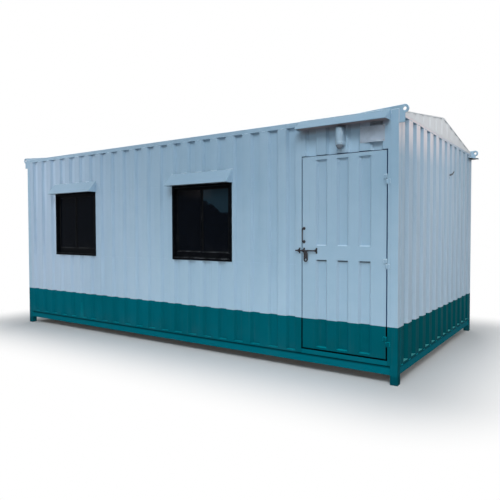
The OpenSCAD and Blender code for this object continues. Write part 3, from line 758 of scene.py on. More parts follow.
def add_slab(bm, outline, matrix, thick, bevel):
    """Plate with an outline in the matrix's plane, rising from it."""
    mesh = bmesh.new()
    face = mesh.faces.new([mesh.verts.new((x, y, 0)) for x, y in outline])
    raised = bmesh.ops.extrude_face_region(mesh, geom=[face])["geom"]
    for v in raised:
        if isinstance(v, bmesh.types.BMVert):
            v.co.z = thick
    sharp = [e for e in mesh.edges if abs(e.verts[0].co.z - e.verts[1].co.z) < 1e-9]
    bmesh.ops.bevel(mesh, geom=sharp, offset=bevel, segments=2, affect="EDGES", profile=0.5)
    stamp(bm, mesh, [matrix])
    mesh.free()


def stamp(bm, unit, matrices):
    """Copies a unit shape to each matrix."""
    mesh = bpy.data.meshes.new("unit")
    unit.to_mesh(mesh)
    for matrix in matrices:
        placed = mesh.copy()
        placed.transform(matrix)
        bm.from_mesh(placed)
        bpy.data.meshes.remove(placed)
    bpy.data.meshes.remove(mesh)


def add_bead(bm, start, end, radius, ripple):
    """Weld bead between two points, swelling and shrinking as the welder's hand moved."""
    start, end = Vector(start), Vector(end)
    along = end - start
    count = max(3, round(along.length / ripple * 2))
    side = along.orthogonal().normalized()
    up = along.normalized().cross(side)
    rings = []
    for i in range(count + 1):
        swell = radius * (0.82 + 0.18 * math.cos(i * math.pi))
        swell *= 0.45 if i in (0, count) else 1.0
        centre = start + along * (i / count)
        rings.append([centre + side * c.x + up * c.y for c in circle(swell, 8)])
    add_rings(bm, rings)


def round_corners(width, height, radius):
    """Outline of a rectangle with round corners, its middle at the origin."""
    steps, points = 4, []
    for sx, sy, first in ((1, 1, 0), (-1, 1, 90), (-1, -1, 180), (1, -1, 270)):
        for i in range(steps + 1):
            a = math.radians(first + 90 * i / steps)
            points.append((sx * (width / 2 - radius) + radius * math.cos(a),
                           sy * (height / 2 - radius) + radius * math.sin(a)))
    return points


def turned_head(radius, sides, profile):
    """Shape of revolution from pairs of radius and height, both as shares of a radius."""
    unit = bmesh.new()
    add_lathe(unit, [(radius * r, radius * h) for r, h in profile], Matrix.Identity(4), sides)
    return unit


def screw_head(radius):
    """Pan head with a cross recess left as a dimple."""
    return turned_head(radius, 12, ((0, 0), (1, 0), (1, 0.25), (0.75, 0.55), (0.35, 0.62),
                                    (0.25, 0.45), (0, 0.40)))


def roof_screw(radius):
    """Hexagon head on a bonded washer."""
    unit = turned_head(radius, 12, ((0, 0), (1, 0), (1, 0.18), (0.7, 0.32), (0, 0.32)))
    head = turned_head(radius, 6, ((0, 0.3), (0.48, 0.3), (0.48, 0.72), (0.40, 0.82), (0, 0.82)))
    stamp(unit, head, [Matrix.Identity(4)])
    return unit


def make_piece(name, bm, material, body, replaced=()):
    """Turns a shape into a piece that rides on a body."""
    bmesh.ops.recalc_face_normals(bm, faces=bm.faces[:])
    mesh = bpy.data.meshes.new(name)
    bm.to_mesh(mesh)
    bm.free()
    mesh.materials.append(material)
    mesh.polygons.foreach_set("use_smooth", [True] * len(mesh.polygons))
    mesh.set_sharp_from_angle(angle=math.radians(38))
    piece = bpy.data.objects.new(name, mesh)
    bpy.context.scene.collection.objects.link(piece)
    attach(piece, body)
    if replaced:
        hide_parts(*replaced)
    return piece


def solids(node):
    """Boxes of the separate solids in a node, from left to right and low to high."""
    bm = bmesh.new()
    bm.from_mesh(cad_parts[node].data)
    bmesh.ops.remove_doubles(bm, verts=bm.verts[:], dist=1e-6)
    left, boxes = set(bm.verts), []
    while left:
        island, edge = set(), [left.pop()]
        while edge:
            v = edge.pop()
            island.add(v)
            edge += [o for e in v.link_edges for o in e.verts if o in left]
            left -= set(edge)
        co = [v.co for v in island]
        boxes.append((Vector(map(min, zip(*co))), Vector(map(max, zip(*co)))))
    bm.free()
    return sorted(boxes, key=lambda b: (round(b[0].x, 3), round(b[0].z, 3)))


def crests(node, along, depth, face):
    """Stretches of a fluted panel that lie on its face, along axis 0 or 1."""
    lined = sorted({round(v.co[along], 4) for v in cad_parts[node].data.vertices
                    if abs(v.co[depth] - face) < 1e-4 and v.co.z > BASE_TOP + 0.1})
    return list(zip(lined[0::2], lined[1::2]))


def finish_node(node, material, bevel, bend):
    """Gives a CAD node its finish, softens its edges and rounds the bends of pressed sheet."""
    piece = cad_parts[node]
    piece.data.materials.clear()
    piece.data.materials.append(material)
    if bevel:
        weld = piece.modifiers.new("joined", "WELD")
        weld.merge_threshold = 1e-5
    for name, width, angle in (("soft_edges", bevel, 70 if bend else 25), ("bends", bend, 40)):
        if width:
            soft = piece.modifiers.new(name, "BEVEL")
            soft.width = width
            soft.segments = 3
            soft.limit_method = "ANGLE"
            soft.angle_limit = math.radians(angle)


def stock(context):
    """All finishes, made once and found by name afterwards."""
    scene = context.scene
    paint, glazing = scene.cabin_paint, scene.cabin_glazing
    fittings, room = scene.cabin_fittings, scene.cabin_room
    # Colour, the one it drifts to, patches a metre, roughness and strength of the drift
    plain = {
        "rubber": ((0.045, 0.046, 0.050), (0.16, 0.16, 0.16), 25.0, 0.62, 0.3),
        "lamp_housing": (fittings.lamp, paint.grime, 9.0, 0.30, 0.12),
        "smoked_lens": (fittings.lens, (0.18, 0.19, 0.22), 30.0, 0.22, 0.3),
        "bare_plate": (fittings.plate, paint.grime, 11.0, 0.36, 0.25),
        # Dark sheets under the canopy and the window hoods: painted shade
        "canopy_primer": (paint.canopy_shadow, paint.rust, 6.0, 0.6, 0.2),
        "dark_primer": (paint.primer, paint.rust, 6.0, 0.6, 0.3),
        "zinc": (fittings.zinc, (0.36, 0.36, 0.37), 60.0, 0.38, 0.5),
        "lining_board": (paint.lining, paint.dust, 7.0, 0.45, 0.2),
        "floor_vinyl": (room.vinyl, (0.30, 0.29, 0.28), 4.0, 0.48, 0.55),
        "ceiling_board": (room.ceiling, (0.70, 0.69, 0.66), 3.0, 0.6, 0.25),
    }
    makers = {
        "cabin_paint": lambda name: wall_paint(name, paint),
        "bleached_paint": lambda name: wall_paint(name, paint, right_end=True),
        "front_paint": lambda name: front_paint(name, paint),
        "base_paint": lambda name: base_paint(name, paint),
        # Below: the sill and the lugs are lifted with painted light, and the header gets painted
        # light in its flute floors
        "sill_paint": lambda name: door_paint(name, paint, fresh=0.6),
        "door_paint": lambda name: door_paint(name, paint, under=1.0, away=1.0),
        "header_paint": lambda name: door_paint(name, paint, under=0.1, deep=0.9, away=0.25),
        "hood_paint": lambda name: hood_paint(name, paint),
        "lug_paint": lambda name: hood_paint(name, paint, fresh=0.9),
        "roof_sheet_paint": lambda name: roof_material(name, paint),
        "dark_window_metal": lambda name: frame_material(name, glazing),
        "tinted_glass": lambda name: glass_material(name, glazing),
        "rusty_bolt": lambda name: rust_material(name, fittings, rusty=0.9),
        "worn_handle": lambda name: rust_material(name, fittings, rusty=0.5),
        "rubber": lambda name: plain_material(name, *plain[name], dust_and_glint=glazing.dust, IOR=1.06),
        "zinc": lambda name: plain_material(name, *plain[name], Metallic=0.85),
    }

    def get(name):
        """The finish of a name, made if it isn't there yet."""
        if name in bpy.data.materials:
            return bpy.data.materials[name]
        return makers[name](name) if name in makers else plain_material(name, *plain[name])

    return get


class CABIN_OT_stage(Operator):
    """Set up camera, floor, backdrop and soft light"""

    bl_idname = "cabin.stage"
    bl_label = "Stage"

    # Name, place, aim, width, height, beam angle in degrees, watts and tint
    SOFTBOXES = (
        ("key_softbox", (4.5, -8.5, 8.5), (0.3, FRONT, 1.2),
         8.0, 4.0, 120.0, 300.0, (0.87, 0.95, 1.0)),
        ("strip_softbox", (4.0, -9.0, 0.7), (0.0, FRONT, 0.3),
         11.0, 0.8, 32.0, 41.0, (1.0, 0.86, 0.77)),
        ("side_softbox", (10.0, -3.0, 5.0), (RIGHT, MIDDLE, 2.6),
         3.0, 2.4, 40.0, 24.0, (1.0, 0.90, 0.86)),
        ("rear_softbox", (-4.0, 9.5, 6.5), (-0.5, REAR, 1.3),
         9.0, 4.0, 120.0, 190.0, (1.0, 1.0, 1.0)),
        ("left_softbox", (-7.0, -8.0, 3.5), (-3.2, FRONT, 2.4),
         3.0, 2.0, 30.0, 13.5, (1.0, 0.90, 0.88)),
    )

    def execute(self, context):
        stage = context.scene.cabin_stage
        self.camera(context, stage)
        self.floor(stage)
        self.world(context, stage)
        for name, at, aim, wide, high, beam, watts, colour in self.SOFTBOXES:
            data = bpy.data.lights.new(name, "AREA")
            data.shape, data.size, data.size_y, data.energy = "RECTANGLE", wide, high, watts
            data.spread, data.color = math.radians(beam), colour
            lamp = bpy.data.objects.new(name, data)
            lamp.location = at
            lamp.rotation_euler = (Vector(aim) - Vector(at)).to_track_quat("-Z", "Y").to_euler()
            context.scene.collection.objects.link(lamp)
        return {"FINISHED"}

    def camera(self, context, stage):
        """Camera at the eye's place, with its frame shifted."""
        data = bpy.data.cameras.new("photo_camera")
        data.lens, data.sensor_width = stage.lens, 36.0
        data.shift_x, data.shift_y = stage.shift_x, stage.shift_y
        camera = bpy.data.objects.new("photo_camera", data)
        camera.location = stage.eye
        camera.rotation_euler = (math.pi / 2 + stage.pitch, 0.0, stage.heading)
        context.scene.collection.objects.link(camera)
        context.scene.camera = camera

    def floor(self, stage):
        """Pale floor that fades to plain white away from the cabin."""
        f = Finish("studio_floor")
        off = f.vector("ABSOLUTE", f.vector("SUBTRACT", f.here, (0.0, MIDDLE, 0.0)))
        off = f.vector("SUBTRACT", off, (RIGHT, REAR - MIDDLE, 0.0))
        off = f.vector("LENGTH", f.vector("MAXIMUM", off, (0.0, 0.0, 0.0)), result="Value")
        fade = f.ramp(off, stage.clear_from, stage.clear_to)
        glow = f.add("ShaderNodeEmission", WHITE, 1.0)
        f.done(linear(stage.floor), 0.9, Specular_IOR_Level=0.0)
        f.blend(f.both(fade, f.seen()), f.shader, glow, "Material Output")
        bm = bmesh.new()
        bmesh.ops.create_grid(bm, x_segments=1, y_segments=1, size=60.0)
        mesh = bpy.data.meshes.new("studio_floor")
        bm.to_mesh(mesh)
        bm.free()
        mesh.materials.append(f.material)
        floor = bpy.data.objects.new("studio_floor", mesh)
        bpy.context.scene.collection.objects.link(floor)

    def world(self, context, stage):
        """Even light, and plain white wherever the background shows."""
        world = bpy.data.worlds.new("studio")
        world.use_nodes = True
        context.scene.world = world
        n = Nodes(world.node_tree)
        even = n.tree.nodes["Background"]
        n.plug(even.inputs[0], WHITE)
        n.plug(even.inputs[1], stage.sky)
        plain = n.add("ShaderNodeBackground", WHITE, 1.0)
        n.blend(n.seen(), even, plain, "World Output")
        context.scene.view_settings.view_transform = "Standard"


class CABIN_OT_shell(Operator):
    """Paint the walls, frame, roof and boards"""

    bl_idname = "cabin.shell"
    bl_label = "Shell"

    # Start of a node's name, its finish, rounding of edges and of bends; the first match counts
    COATS = (
        ("right_wall", "bleached_paint", 0.002, 0.012),
        ("leg_post_front_right", "bleached_paint", 0.005, 0.0),
        ("leg_post_rear_right", "bleached_paint", 0.005, 0.0),
        ("top_rail_right", "bleached_paint", 0.003, 0.0),
        ("left_wall", "cabin_paint", 0.002, 0.012),
        ("rear_wall", "cabin_paint", 0.002, 0.012),
        ("front_wall_over_door", "header_paint", 0.002, 0.012),
        ("front_wall", "front_paint", 0.002, 0.012),
        ("leg_post", "cabin_paint", 0.005, 0.0),
        ("base_", "base_paint", 0.002, 0.0),
        ("lifting_lug_rear", "lug_paint", 0.002, 0.0),
        ("floor_board", "floor_vinyl", 0.0, 0.0),
        ("ceiling", "ceiling_board", 0.0, 0.0),
        ("ridge_cap", "roof_sheet_paint", 0.001, 0.0),
        ("gable", "roof_sheet_paint", 0.002, 0.004),
        ("roof", "roof_sheet_paint", 0.002, 0.004),
        ("window_frame", "dark_window_metal", 0.002, 0.0),
        ("window_sashes", "dark_window_metal", 0.0015, 0.0),
        ("window_glass", "tinted_glass", 0.0, 0.0),
        ("window_hood", "hood_paint", 0.001, 0.0),
        ("door_canopy", "hood_paint", 0.001, 0.0),
        ("door_leaf", "door_paint", 0.002, 0.009),
        ("door_sill", "sill_paint", 0.002, 0.0),
        ("door_handle", "worn_handle", 0.0, 0.0),
        ("door_", "door_paint", 0.002, 0.0),
        ("slide_bolt", "rusty_bolt", 0.0005, 0.0),
        ("bolt_", "rusty_bolt", 0.0008, 0.0),
        ("", "cabin_paint", 0.002, 0.0),
    )

    def execute(self, context):
        get = stock(context)
        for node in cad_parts:
            coat = next(c for c in self.COATS if node.startswith(c[0]))
            finish_node(node, get(coat[1]), *coat[2:])
        return {"FINISHED"}


class CABIN_OT_windows(Operator):
    """Fit gaskets, track ribs, pulls and latches to both windows"""

    bl_idname = "cabin.windows"
    bl_label = "Windows"

    def execute(self, context):
        get, glazing = stock(context), context.scene.cabin_glazing
        wide, lip, rib = glazing.gasket, glazing.gasket * 0.6, glazing.track
        stand_off, outer_half, inner_half = 0.0045, 0.0018, 0.0008
        wedge = [(0, 0), (0, lip), (wide / 3, lip), (wide, lip / 3), (wide, 0)]
        for side in ("left", "right"):
            rubber, metal = bmesh.new(), bmesh.new()
            for low, high in solids(f"window_glass_{side}"):
                add_frame(rubber, low.xz, high.xz, on_front(0, 0, low.y), wedge)
                add_frame(rubber, (-high.x, low.z), (-low.x, high.z),
                          facing((0, high.y, 0), (-1, 0, 0), (0, 0, 1)), wedge)
            make_piece(f"window_gaskets_{side}", rubber, get("rubber"), "root")

            (a, b), (c, d) = solids(f"window_sashes_{side}")
            for y, half in ((c.y - stand_off, outer_half), ((d.y + a.y) / 2, inner_half),
                            (b.y + stand_off, outer_half)):
                for foot, top in ((a.z, a.z + rib), (b.z - rib, b.z)):
                    add_box(metal, (a.x, y - half, foot), (d.x, y + half, top), 0.0005, 1)
            x, z = (c.x + b.x) / 2, (a.z + b.z) / 2
            add_slab(metal, round_corners(0.013, glazing.pull, 0.005), on_front(x, z, c.y),
                     0.005, 0.0015)
            back = facing((x, b.y, z), (-1, 0, 0), (0, 0, 1))
            add_slab(metal, round_corners(0.020, glazing.latch, 0.004), back, 0.004, 0.001)
            add_lathe(metal, [(0, 0.003), (0.008, 0.003), (0.008, 0.010), (0.006, 0.012),
                              (0, 0.012)], back)
            lever = Matrix.Translation((0, 0, 0.0085)) @ Matrix.Rotation(math.radians(35), 4, "Z")
            add_slab(metal, [(-0.005, 0), (0.005, 0), (0.004, 0.034), (-0.004, 0.034)],
                     back @ lever, 0.005, 0.001)
            make_piece(f"window_fittings_{side}", metal, get("dark_window_metal"), "root")
        return {"FINISHED"}


class CABIN_OT_hoods(Operator):
    """Hem, seal and rivet the window hoods and the canopy, and shut their undersides with dark
    sheets of painted shade
    """

    bl_idname = "cabin.hoods"
    bl_label = "Hoods"

    def execute(self, context):
        get, trims = stock(context), context.scene.cabin_trims
        r, lift, bays, overlap, seat = trims.hem, trims.shade_soffit, 6, 0.03, FRONT - 0.001
        for node, panel in (("window_hood_left", "front_wall_upper"),
                            ("window_hood_right", "front_wall_upper"), ("door_canopy", None)):
            low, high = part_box(node)
            hem, beads, rivets, shade_soffit = (bmesh.new() for _ in range(4))
            add_tube(hem, [(x, low.y + r, low.z + r) for x in (low.x + r, high.x - r)], r, 10)
            step = (high.x - low.x) / bays
            if panel:
                spans = [(max(a, low.x), min(b, high.x)) for a, b in crests(panel, 0, 1, FRONT)
                         if b > low.x + overlap and a < high.x - overlap]
            else:
                spans = [(low.x + i * step, low.x + (i + 1) * step) for i in range(bays)]
            for a, b in spans:
                add_bead(beads, (a, seat, high.z), (b, seat, high.z), r * 0.7, r * 2)
            slope = facing((0, FRONT, high.z), (1, 0, 0), (0, FRONT - low.y, high.z - low.z))
            spots = [slope @ Matrix.Translation(((a + b) / 2, -trims.rivet_in, 0))
                     for a, b in spans]
            stamp(rivets, screw_head(trims.rivet), spots)
            foot, rib = low.z + lift, 0.008
            add_box(shade_soffit, (low.x + lift, low.y + lift, foot),
                    (high.x - lift, seat, foot + 0.003), 0.0008, 1)
            for k in range(1, bays):
                x = low.x + k * step
                add_box(shade_soffit, (x - rib, low.y + lift + rib, foot - 0.003),
                        (x + rib, FRONT - rib, foot + 0.001), 0.002)
            # Shade soffit and hem take a dark finish: painted shade under the hoods and canopy
            primer = get("dark_primer" if panel else "canopy_primer")
            make_piece(f"{node}_soffit", shade_soffit, primer, "root")
            make_piece(f"{node}_hem", hem, primer, "root")
            make_piece(f"{node}_beads", beads, get("cabin_paint"), "root")
            make_piece(f"{node}_rivets", rivets, get("cabin_paint"), "root")
        return {"FINISHED"}


class CABIN_OT_door(Operator):
    """Fit seal, handle feet, hinge welds and pin caps to the door"""

    bl_idname = "cabin.door"
    bl_label = "Door"

    def execute(self, context):
        get, fittings = stock(context), context.scene.cabin_fittings
        self.seal(get, fittings)
        self.handle(get, fittings)
        for body, node, edge in (("door", "door_hinge_halves", 0),
                                 ("root", "post_hinge_halves", 1)):
            self.hinges(get, fittings, context.scene.cabin_welds, body, node, edge)
        return {"FINISHED"}

    def seal(self, get, fittings):
        """Rubber lip on the stops that the leaf closes against."""
        low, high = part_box("door_leaf")
        seal, wide = bmesh.new(), fittings.seal
        rise = fittings.stop_gap * 0.7
        lip = [(0.002, 0), (0.003, rise * 0.8), (0.002 + wide / 2, rise),
               (0.001 + wide, rise * 0.8), (0.002 + wide, 0)]
        add_frame(seal, low.xz, high.xz, on_front(0, 0, high.y + fittings.stop_gap), lip)
        make_piece("door_seal", seal, get("rubber"), "root")

    def handle(self, get, fittings):
        """Foot plates of the pull handle, and their screws."""
        feet, screws, big = bmesh.new(), bmesh.new(), fittings.rosette
        bar_low, bar_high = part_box("door_handle")
        x, bar = (bar_low.x + bar_high.x) / 2, (bar_high.x - bar_low.x) / 2
        for z in (bar_low.z + bar, bar_high.z - bar):
            add_lathe(feet, [(0, 0), (big, 0), (big, 0.002), (big - 0.002, 0.0035),
                             (bar * 1.5, 0.0035), (bar * 1.2, 0.006), (0, 0.006)],
                      on_front(x, z), 24)
            stamp(screws, screw_head(0.0032),
                  [on_front(x, z + s * big * 0.72, FRONT - 0.003) for s in (-1, 1)])
        make_piece("handle_feet", feet, get("worn_handle"), "door")
        make_piece("handle_screws", screws, get("zinc"), "door")

    def hinges(self, get, fittings, welds, body, node, edge):
        """Welds round the flaps and caps on the pins; edge 0 is the door's half, 1 the post's."""
        joint, caps = bmesh.new(), bmesh.new()
        sign, weld_return, pin_in, y = 1 - 2 * edge, 0.022, 0.009, FRONT - 0.003
        for box in solids(node):
            foot, rim = box[0].z, box[edge].x
            top = foot + fittings.knuckle if edge else box[1].z
            add_bead(joint, (rim, y, foot), (rim, y, top), welds.bead * 0.8, welds.ripple)
            for z in (foot, top):
                add_bead(joint, (rim, y, z), (rim + sign * weld_return, y, z),
                         welds.bead * 0.7, welds.ripple)
            barrel = (box[0].y + box[1].y) / 2 - 0.001
            pin_x = box[1 - edge].x - sign * pin_in
            turn = Matrix.Translation((pin_x, barrel, foot if edge else top))
            if edge:
                turn = turn @ Matrix.Rotation(math.pi, 4, "X")
            add_lathe(caps, [(0, -0.001), (0.0072, -0.001), (0.0072, 0.002), (0.005, 0.004),
                             (0, 0.0046)], turn)
        make_piece(f"{body}_hinge_welds", joint, get("cabin_paint"), body)
        make_piece(f"{body}_hinge_caps", caps, get("cabin_paint"), body)


class CABIN_OT_bolt(Operator):
    """Weld the bolt's lever and give the rod's guides and keeper their feet"""

    bl_idname = "cabin.bolt"
    bl_label = "Bolt"

    def execute(self, context):
        get, welds = stock(context), context.scene.cabin_welds
        for body, node in (("door", "bolt_guides"), ("root", "bolt_keeper")):
            feet, wide, past_end = bmesh.new(), 0.018, 0.007
            for low, high in solids(node):
                x = (low.x + high.x) / 2
                for z in (low.z - past_end, high.z + past_end):
                    add_slab(feet, round_corners(wide, wide, 0.004), on_front(x, z), 0.0035, 0.001)
                    stamp(feet, screw_head(0.004), [on_front(x, z, FRONT - 0.0033)])
            make_piece(f"{node}_feet", feet, get("rusty_bolt"), body)
        joint = bmesh.new()
        low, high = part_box("slide_bolt")
        rod = (high.y - low.y) / 2
        level, axis, round_rod = high.z - rod, (low.y + high.y) / 2, rod + 0.001
        plate = [v.co.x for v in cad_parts["slide_bolt"].data.vertices
                 if v.co.z < level - rod * 2]
        for x in (round(min(plate), 4), round(max(plate), 4)):
            ring = [(x, axis + c.x, level + c.y) for c in circle(round_rod, 24)]
            add_tube(joint, ring, welds.bead * 0.6, closed=True)
        make_piece("lever_weld", joint, get("rusty_bolt"), "bolt")
        return {"FINISHED"}


class CABIN_OT_lamp(Operator):
    """Build the lamp over the door: housing, gasket, lens and screws"""

    bl_idname = "cabin.lamp"
    bl_label = "Lamp"

    def execute(self, context):
        get, fittings = stock(context), context.scene.cabin_fittings
        low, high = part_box("door_lamp")
        r, x = (high.x - low.x) / 2, (low.x + high.x) / 2
        axis, seam = low.y + r, low.z + fittings.lens_height

        def section(scale, z):
            """Outline of the housing at a height: round in front, flat against the wall."""
            sides = 18
            arc = [math.pi + math.pi * i / sides for i in range(sides + 1)]
            wide = r * scale
            front = [Vector((x + wide * math.cos(a), axis + wide * math.sin(a), z)) for a in arc]
            return front + [Vector((x + wide, FRONT, z)), Vector((x - wide, FRONT, z))]

        body = bmesh.new()
        crown = high.z - seam
        add_rings(body, [section(s, seam + h) for s, h in (
            (0.90, 0.0), (0.985, 0.003), (1.0, 0.010), (1.0, 0.030), (0.975, 0.032),
            (0.975, 0.034), (1.0, 0.036), (1.0, crown - 0.022), (0.975, crown - 0.011),
            (0.90, crown - 0.004), (0.72, crown))])
        make_piece("lamp_housing", body, get("lamp_housing"), "root", ("door_lamp",))
        pad = bmesh.new()
        add_slab(pad, round_corners(2 * r + 0.008, crown - 0.006, 0.006),
                 on_front(x, seam + crown / 2), 0.005, 0.0012)
        make_piece("lamp_gasket", pad, get("lamp_housing"), "root")
        lens = bmesh.new()
        drop = seam - low.z
        add_lathe(lens, [(0, 0.002), (r * 0.88, 0.002), (r * 0.90, -0.004), (r * 0.86, -0.007),
                         (r * 0.86, -0.010), (r * 0.74, -drop * 0.45), (r * 0.52, -drop * 0.75),
                         (r * 0.26, -drop * 0.95), (0, -drop)],
                  Matrix.Translation((x, axis, seam)), 24)
        make_piece("lamp_lens", lens, get("smoked_lens"), "root")
        screws = bmesh.new()
        stamp(screws, screw_head(0.0035), [
            facing((x + r * math.sin(a), axis - r * math.cos(a), seam + 0.018),
                   (math.cos(a), math.sin(a), 0), (0, 0, 1)) for a in (-0.9, 0.9)])
        make_piece("lamp_screws", screws, get("zinc"), "root")
        return {"FINISHED"}


class CABIN_OT_plate(Operator):
    """Fix the bare plate over the door, its lower edge lifted"""

    bl_idname = "cabin.plate"
    bl_label = "Plate"

    def execute(self, context):
        get, fittings = stock(context), context.scene.cabin_fittings
        wide, high, thick = fittings.plate_width, fittings.plate_height, 0.0014
        corner = on_front(LEFT + fittings.plate_left, fittings.plate_foot, FRONT - 0.0012)
        columns, rows = 28, 18
        # Shares of the plate: height that has curled, width left of the curl and width of the curl
        curled, before, lifted = 0.30, 0.18, 0.74
        sheet = bmesh.new()

        def point(i, j, side):
            """Point of the plate's grid on its back, side 0, or its face, side 1."""
            u, v = i / columns, j / rows
            along = min(1.0, max(0.0, (u - before) / lifted))
            lift = fittings.plate_curl * max(0.0, 1 - v / curled) ** 2 * math.sin(math.pi * along)
            return corner @ Vector((u * wide, v * high, lift + side * thick))

        add_rings(sheet, [[point(i, j, 1) for i in range(columns + 1)]
                          + [point(i, j, 0) for i in range(columns, -1, -1)]
                          for j in range(rows + 1)])
        make_piece("door_plate", sheet, get("bare_plate"), "root")
        screws = bmesh.new()
        inset = 0.012
        stamp(screws, screw_head(0.0045), [corner @ Matrix.Translation((u, v, thick))
                                           for u in (inset, wide - inset)
                                           for v in (inset, high - inset)])
        make_piece("plate_screws", screws, get("zinc"), "root")
        return {"FINISHED"}


class CABIN_OT_roof(Operator):
    """Screw down the roof, fold the trims over both gables and lap the gables' feet"""

    bl_idname = "cabin.roof"
    bl_label = "Roof"

    def execute(self, context):
        get, trims = stock(context), context.scene.cabin_trims
        for node, sign in (("roof_front", -1), ("roof_rear", 1)):
            screws = bmesh.new()
            stamp(screws, roof_screw(trims.washer), self.screw_spots(trims, node, sign))
            make_piece(f"{node}_screws", screws, get("zinc"), "root")
        t, lift, drop, wide = trims.sheet, trims.verge_lift, trims.verge_drop, trims.verge
        profile = [(-t, -drop), (-t, lift + t), (wide, lift + t), (wide, lift), (0, lift),
                   (0, -drop)]
        past_end, below = 0.012, 0.0017
        for side, face, sign in (("left", LEFT, -1), ("right", RIGHT, 1)):
            low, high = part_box(f"gable_{side}")
            verge, apron = bmesh.new(), bmesh.new()
            path = ((low.y - past_end, low.z - below), (MIDDLE, high.z),
                    (high.y + past_end, low.z - below))
            add_rings(verge, [[Vector((face - sign * u, y, z + h)) for u, h in profile]
                              for y, z in path])
            make_piece(f"verge_trim_{side}", verge, get("roof_sheet_paint"), "root")
            add_box(apron, (min(face, face + sign * t), low.y, RAIL_TOP - trims.apron),
                    (max(face, face + sign * t), high.y, RAIL_TOP + 0.003), t * 0.4, 1)
            make_piece(f"gable_apron_{side}", apron, get("roof_sheet_paint"), "root")
        return {"FINISHED"}

    def screw_spots(self, trims, node, sign):
        """Places of a slope's screws: rows up each rib, then one through the ridge cap."""
        points = [v.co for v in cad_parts[node].data.vertices]
        eave = max(p.y * sign for p in points) * sign
        edge = [p for p in points if abs(p.y - eave) < 1e-4]
        crown, ridge = max(p.z for p in edge), max(points, key=lambda p: p.z)
        tops = sorted({round(p.x, 4) for p in edge if p.z > crown - 1e-4})
        ribs = [(a + b) / 2 for a, b in zip(tops[0::2], tops[1::2])]
        start, end = Vector((0, eave, crown)), Vector((0, ridge.y, ridge.z))
        first, stretch, last = 0.04, 0.78, trims.screw_rows - 1
        rows = [start.lerp(end, first + stretch * row / last) for row in range(last + 1)]
        places = [way + Vector((x, 0, 0)) for x in ribs for way in rows]
        on_cap = (end - start).normalized() * trims.cap_screw_in
        places += [Vector((x, MIDDLE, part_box("ridge_cap")[1].z)) - on_cap for x in ribs]
        return [facing(at, (-sign, 0, 0), end - start) for at in places]


class CABIN_OT_welds(Operator):
    """Lay the welds of walls, frame and lugs"""

    bl_idname = "cabin.welds"
    bl_label = "Welds"

    def execute(self, context):
        get, welds = stock(context), context.scene.cabin_welds
        r, ripple = welds.bead, welds.ripple
        both = (RAIL_FOOT, BASE_TOP)
        for side, panels, along, face, levels in (
                ("front", ("front_wall_upper", "front_wall_over_door"), 0, FRONT, (RAIL_FOOT,)),
                ("rear", ("rear_wall",), 0, REAR, both), ("left", ("left_wall",), 1, LEFT, both),
                ("right", ("right_wall",), 1, RIGHT, both)):
            stitches = bmesh.new()
            for a, b in (c for node in panels for c in crests(node, along, 1 - along, face)):
                half = min(welds.stitch, b - a) / 2
                for z in levels:
                    ends = [(w, face, z) if along == 0 else (face, w, z)
                            for w in ((a + b) / 2 - half, (a + b) / 2 + half)]
                    add_bead(stitches, *ends, r, ripple)
            make_piece(f"wall_stitches_{side}", stitches, get("cabin_paint"), "root")

        joints, base_in = bmesh.new(), 0.014
        for x, sx in ((LEFT, 1), (RIGHT, -1)):
            for y, sy in ((FRONT, 1), (REAR, -1)):
                seam_x, seam_y = x + sx * POST, y + sy * POST
                for a, b, set_back in ((RAIL_FOOT, RAIL_TOP, 0.0), (BASE_FOOT, BASE_TOP, base_in)):
                    at_x, at_y = x + sx * set_back, y + sy * set_back
                    add_bead(joints, (seam_x, at_y, a), (seam_x, at_y, b), r, ripple)
                    add_bead(joints, (at_x, seam_y, a), (at_x, seam_y, b), r, ripple)
                add_tube(joints, [(seam_x, y, BASE_TOP), (seam_x, y, RAIL_FOOT)], r * 0.6)
                add_tube(joints, [(x, seam_y, BASE_TOP), (x, seam_y, RAIL_FOOT)], r * 0.6)
        make_piece("frame_welds", joints, get("cabin_paint"), "root")

        lugs, plate, tongue_stitch = bmesh.new(), 0.012, 0.09
        for end in ("front", "rear"):
            for side, x, sx in (("left", LEFT, -1), ("right", RIGHT, 1)):
                low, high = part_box(f"lifting_lug_{end}_{side}")
                y = low.y + plate if end == "front" else high.y - plate
                add_bead(lugs, (x, y, low.z + 0.002), (x, y, RAIL_TOP - 0.01), r * 1.2, ripple)
                for start in (0.02, 0.20, 0.38):
                    a, b = x - sx * start, x - sx * (start + tongue_stitch)
                    add_bead(lugs, (a, y, RAIL_TOP), (b, y, RAIL_TOP), r, ripple)
                if end == "front":
                    add_bead(lugs, (x, FRONT + 0.001, low.z), (x, y, low.z), r, ripple)
        make_piece("lug_welds", lugs, get("cabin_paint"), "root")
        return {"FINISHED"}


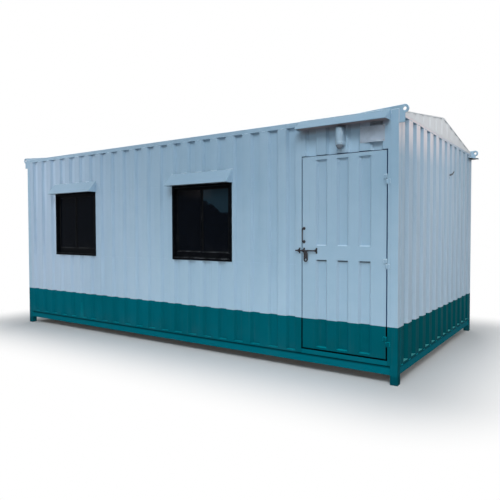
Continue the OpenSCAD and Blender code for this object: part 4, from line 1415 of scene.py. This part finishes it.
class CABIN_OT_room(Operator):
    """Trim the room: skirting, strips over the lining's joints and ceiling battens"""

    bl_idname = "cabin.room"
    bl_label = "Room"

    def execute(self, context):
        get, room = stock(context), context.scene.cabin_room
        low, high, t, half = ROOM_LOW, ROOM_HIGH, room.strip_depth, room.strip / 2
        doorway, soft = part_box("door_jamb_lock")[1].x - 0.025, 0.002
        foot, top, under = FLOOR_TOP, FLOOR_TOP + room.skirting, CEILING_FOOT - t
        board, strips, battens = (bmesh.new() for _ in range(3))
        for a, b in (((low.x, high.y - t), (high.x, high.y)),
                     ((low.x, low.y), (doorway, low.y + t)),
                     ((low.x, low.y + t), (low.x + t, high.y - t)),
                     ((high.x - t, low.y + t), (high.x, high.y - t))):
            add_box(board, (*a, foot), (*b, top), soft)
        make_piece("skirting", board, get("lining_board"), "root")

        length, width = high.x - low.x, high.y - low.y
        count = int(length / room.board)
        joints = [low.x + length * (i + 1) / (count + 1) for i in range(count)]
        for x in joints:
            add_box(strips, (x - half, high.y - t, top), (x + half, high.y, under), soft)
        for y in (low.y + width / 3, low.y + width * 2 / 3):
            for a, b in ((low.x, low.x + t), (high.x - t, high.x)):
                add_box(strips, (a, y - half, top), (b, y + half, under), soft)
        make_piece("lining_strips", strips, get("lining_board"), "root")
        for x in joints:
            add_box(battens, (x - half, low.y, under), (x + half, high.y, CEILING_FOOT), soft)
        make_piece("ceiling_battens", battens, get("ceiling_board"), "root")
        return {"FINISHED"}


class CABIN_PT_panel(Panel):
    """Lists the steps that dress the cabin"""

    bl_label = "Site Cabin"
    bl_idname = "CABIN_PT_panel"
    bl_space_type = "VIEW_3D"
    bl_region_type = "UI"
    bl_category = "Cabin"

    def draw(self, context):
        for step in STEPS:
            self.layout.operator(step.bl_idname)


STEPS = (CABIN_OT_stage, CABIN_OT_shell, CABIN_OT_windows, CABIN_OT_hoods, CABIN_OT_door,
         CABIN_OT_bolt, CABIN_OT_lamp, CABIN_OT_plate, CABIN_OT_roof, CABIN_OT_welds, CABIN_OT_room)
GROUPS = {"cabin_paint": CabinPaint, "cabin_glazing": CabinGlazing,
          "cabin_fittings": CabinFittings, "cabin_trims": CabinTrims, "cabin_welds": CabinWelds,
          "cabin_room": CabinRoom, "cabin_stage": CabinStage}
CLASSES = (*GROUPS.values(), *STEPS, CABIN_PT_panel)


def register():
    for kind in CLASSES:
        bpy.utils.register_class(kind)
    for name, kind in GROUPS.items():
        setattr(bpy.types.Scene, name, PointerProperty(type=kind))


def unregister():
    for name in GROUPS:
        delattr(bpy.types.Scene, name)
    for kind in reversed(CLASSES):
        bpy.utils.unregister_class(kind)


def main():
    register()
    bpy.ops.cabin.stage()
    bpy.ops.cabin.shell()
    bpy.ops.cabin.windows()
    bpy.ops.cabin.hoods()
    bpy.ops.cabin.door()
    bpy.ops.cabin.bolt()
    bpy.ops.cabin.lamp()
    bpy.ops.cabin.plate()
    bpy.ops.cabin.roof()
    bpy.ops.cabin.welds()
    bpy.ops.cabin.room()


if __name__ == "__main__":
    main()
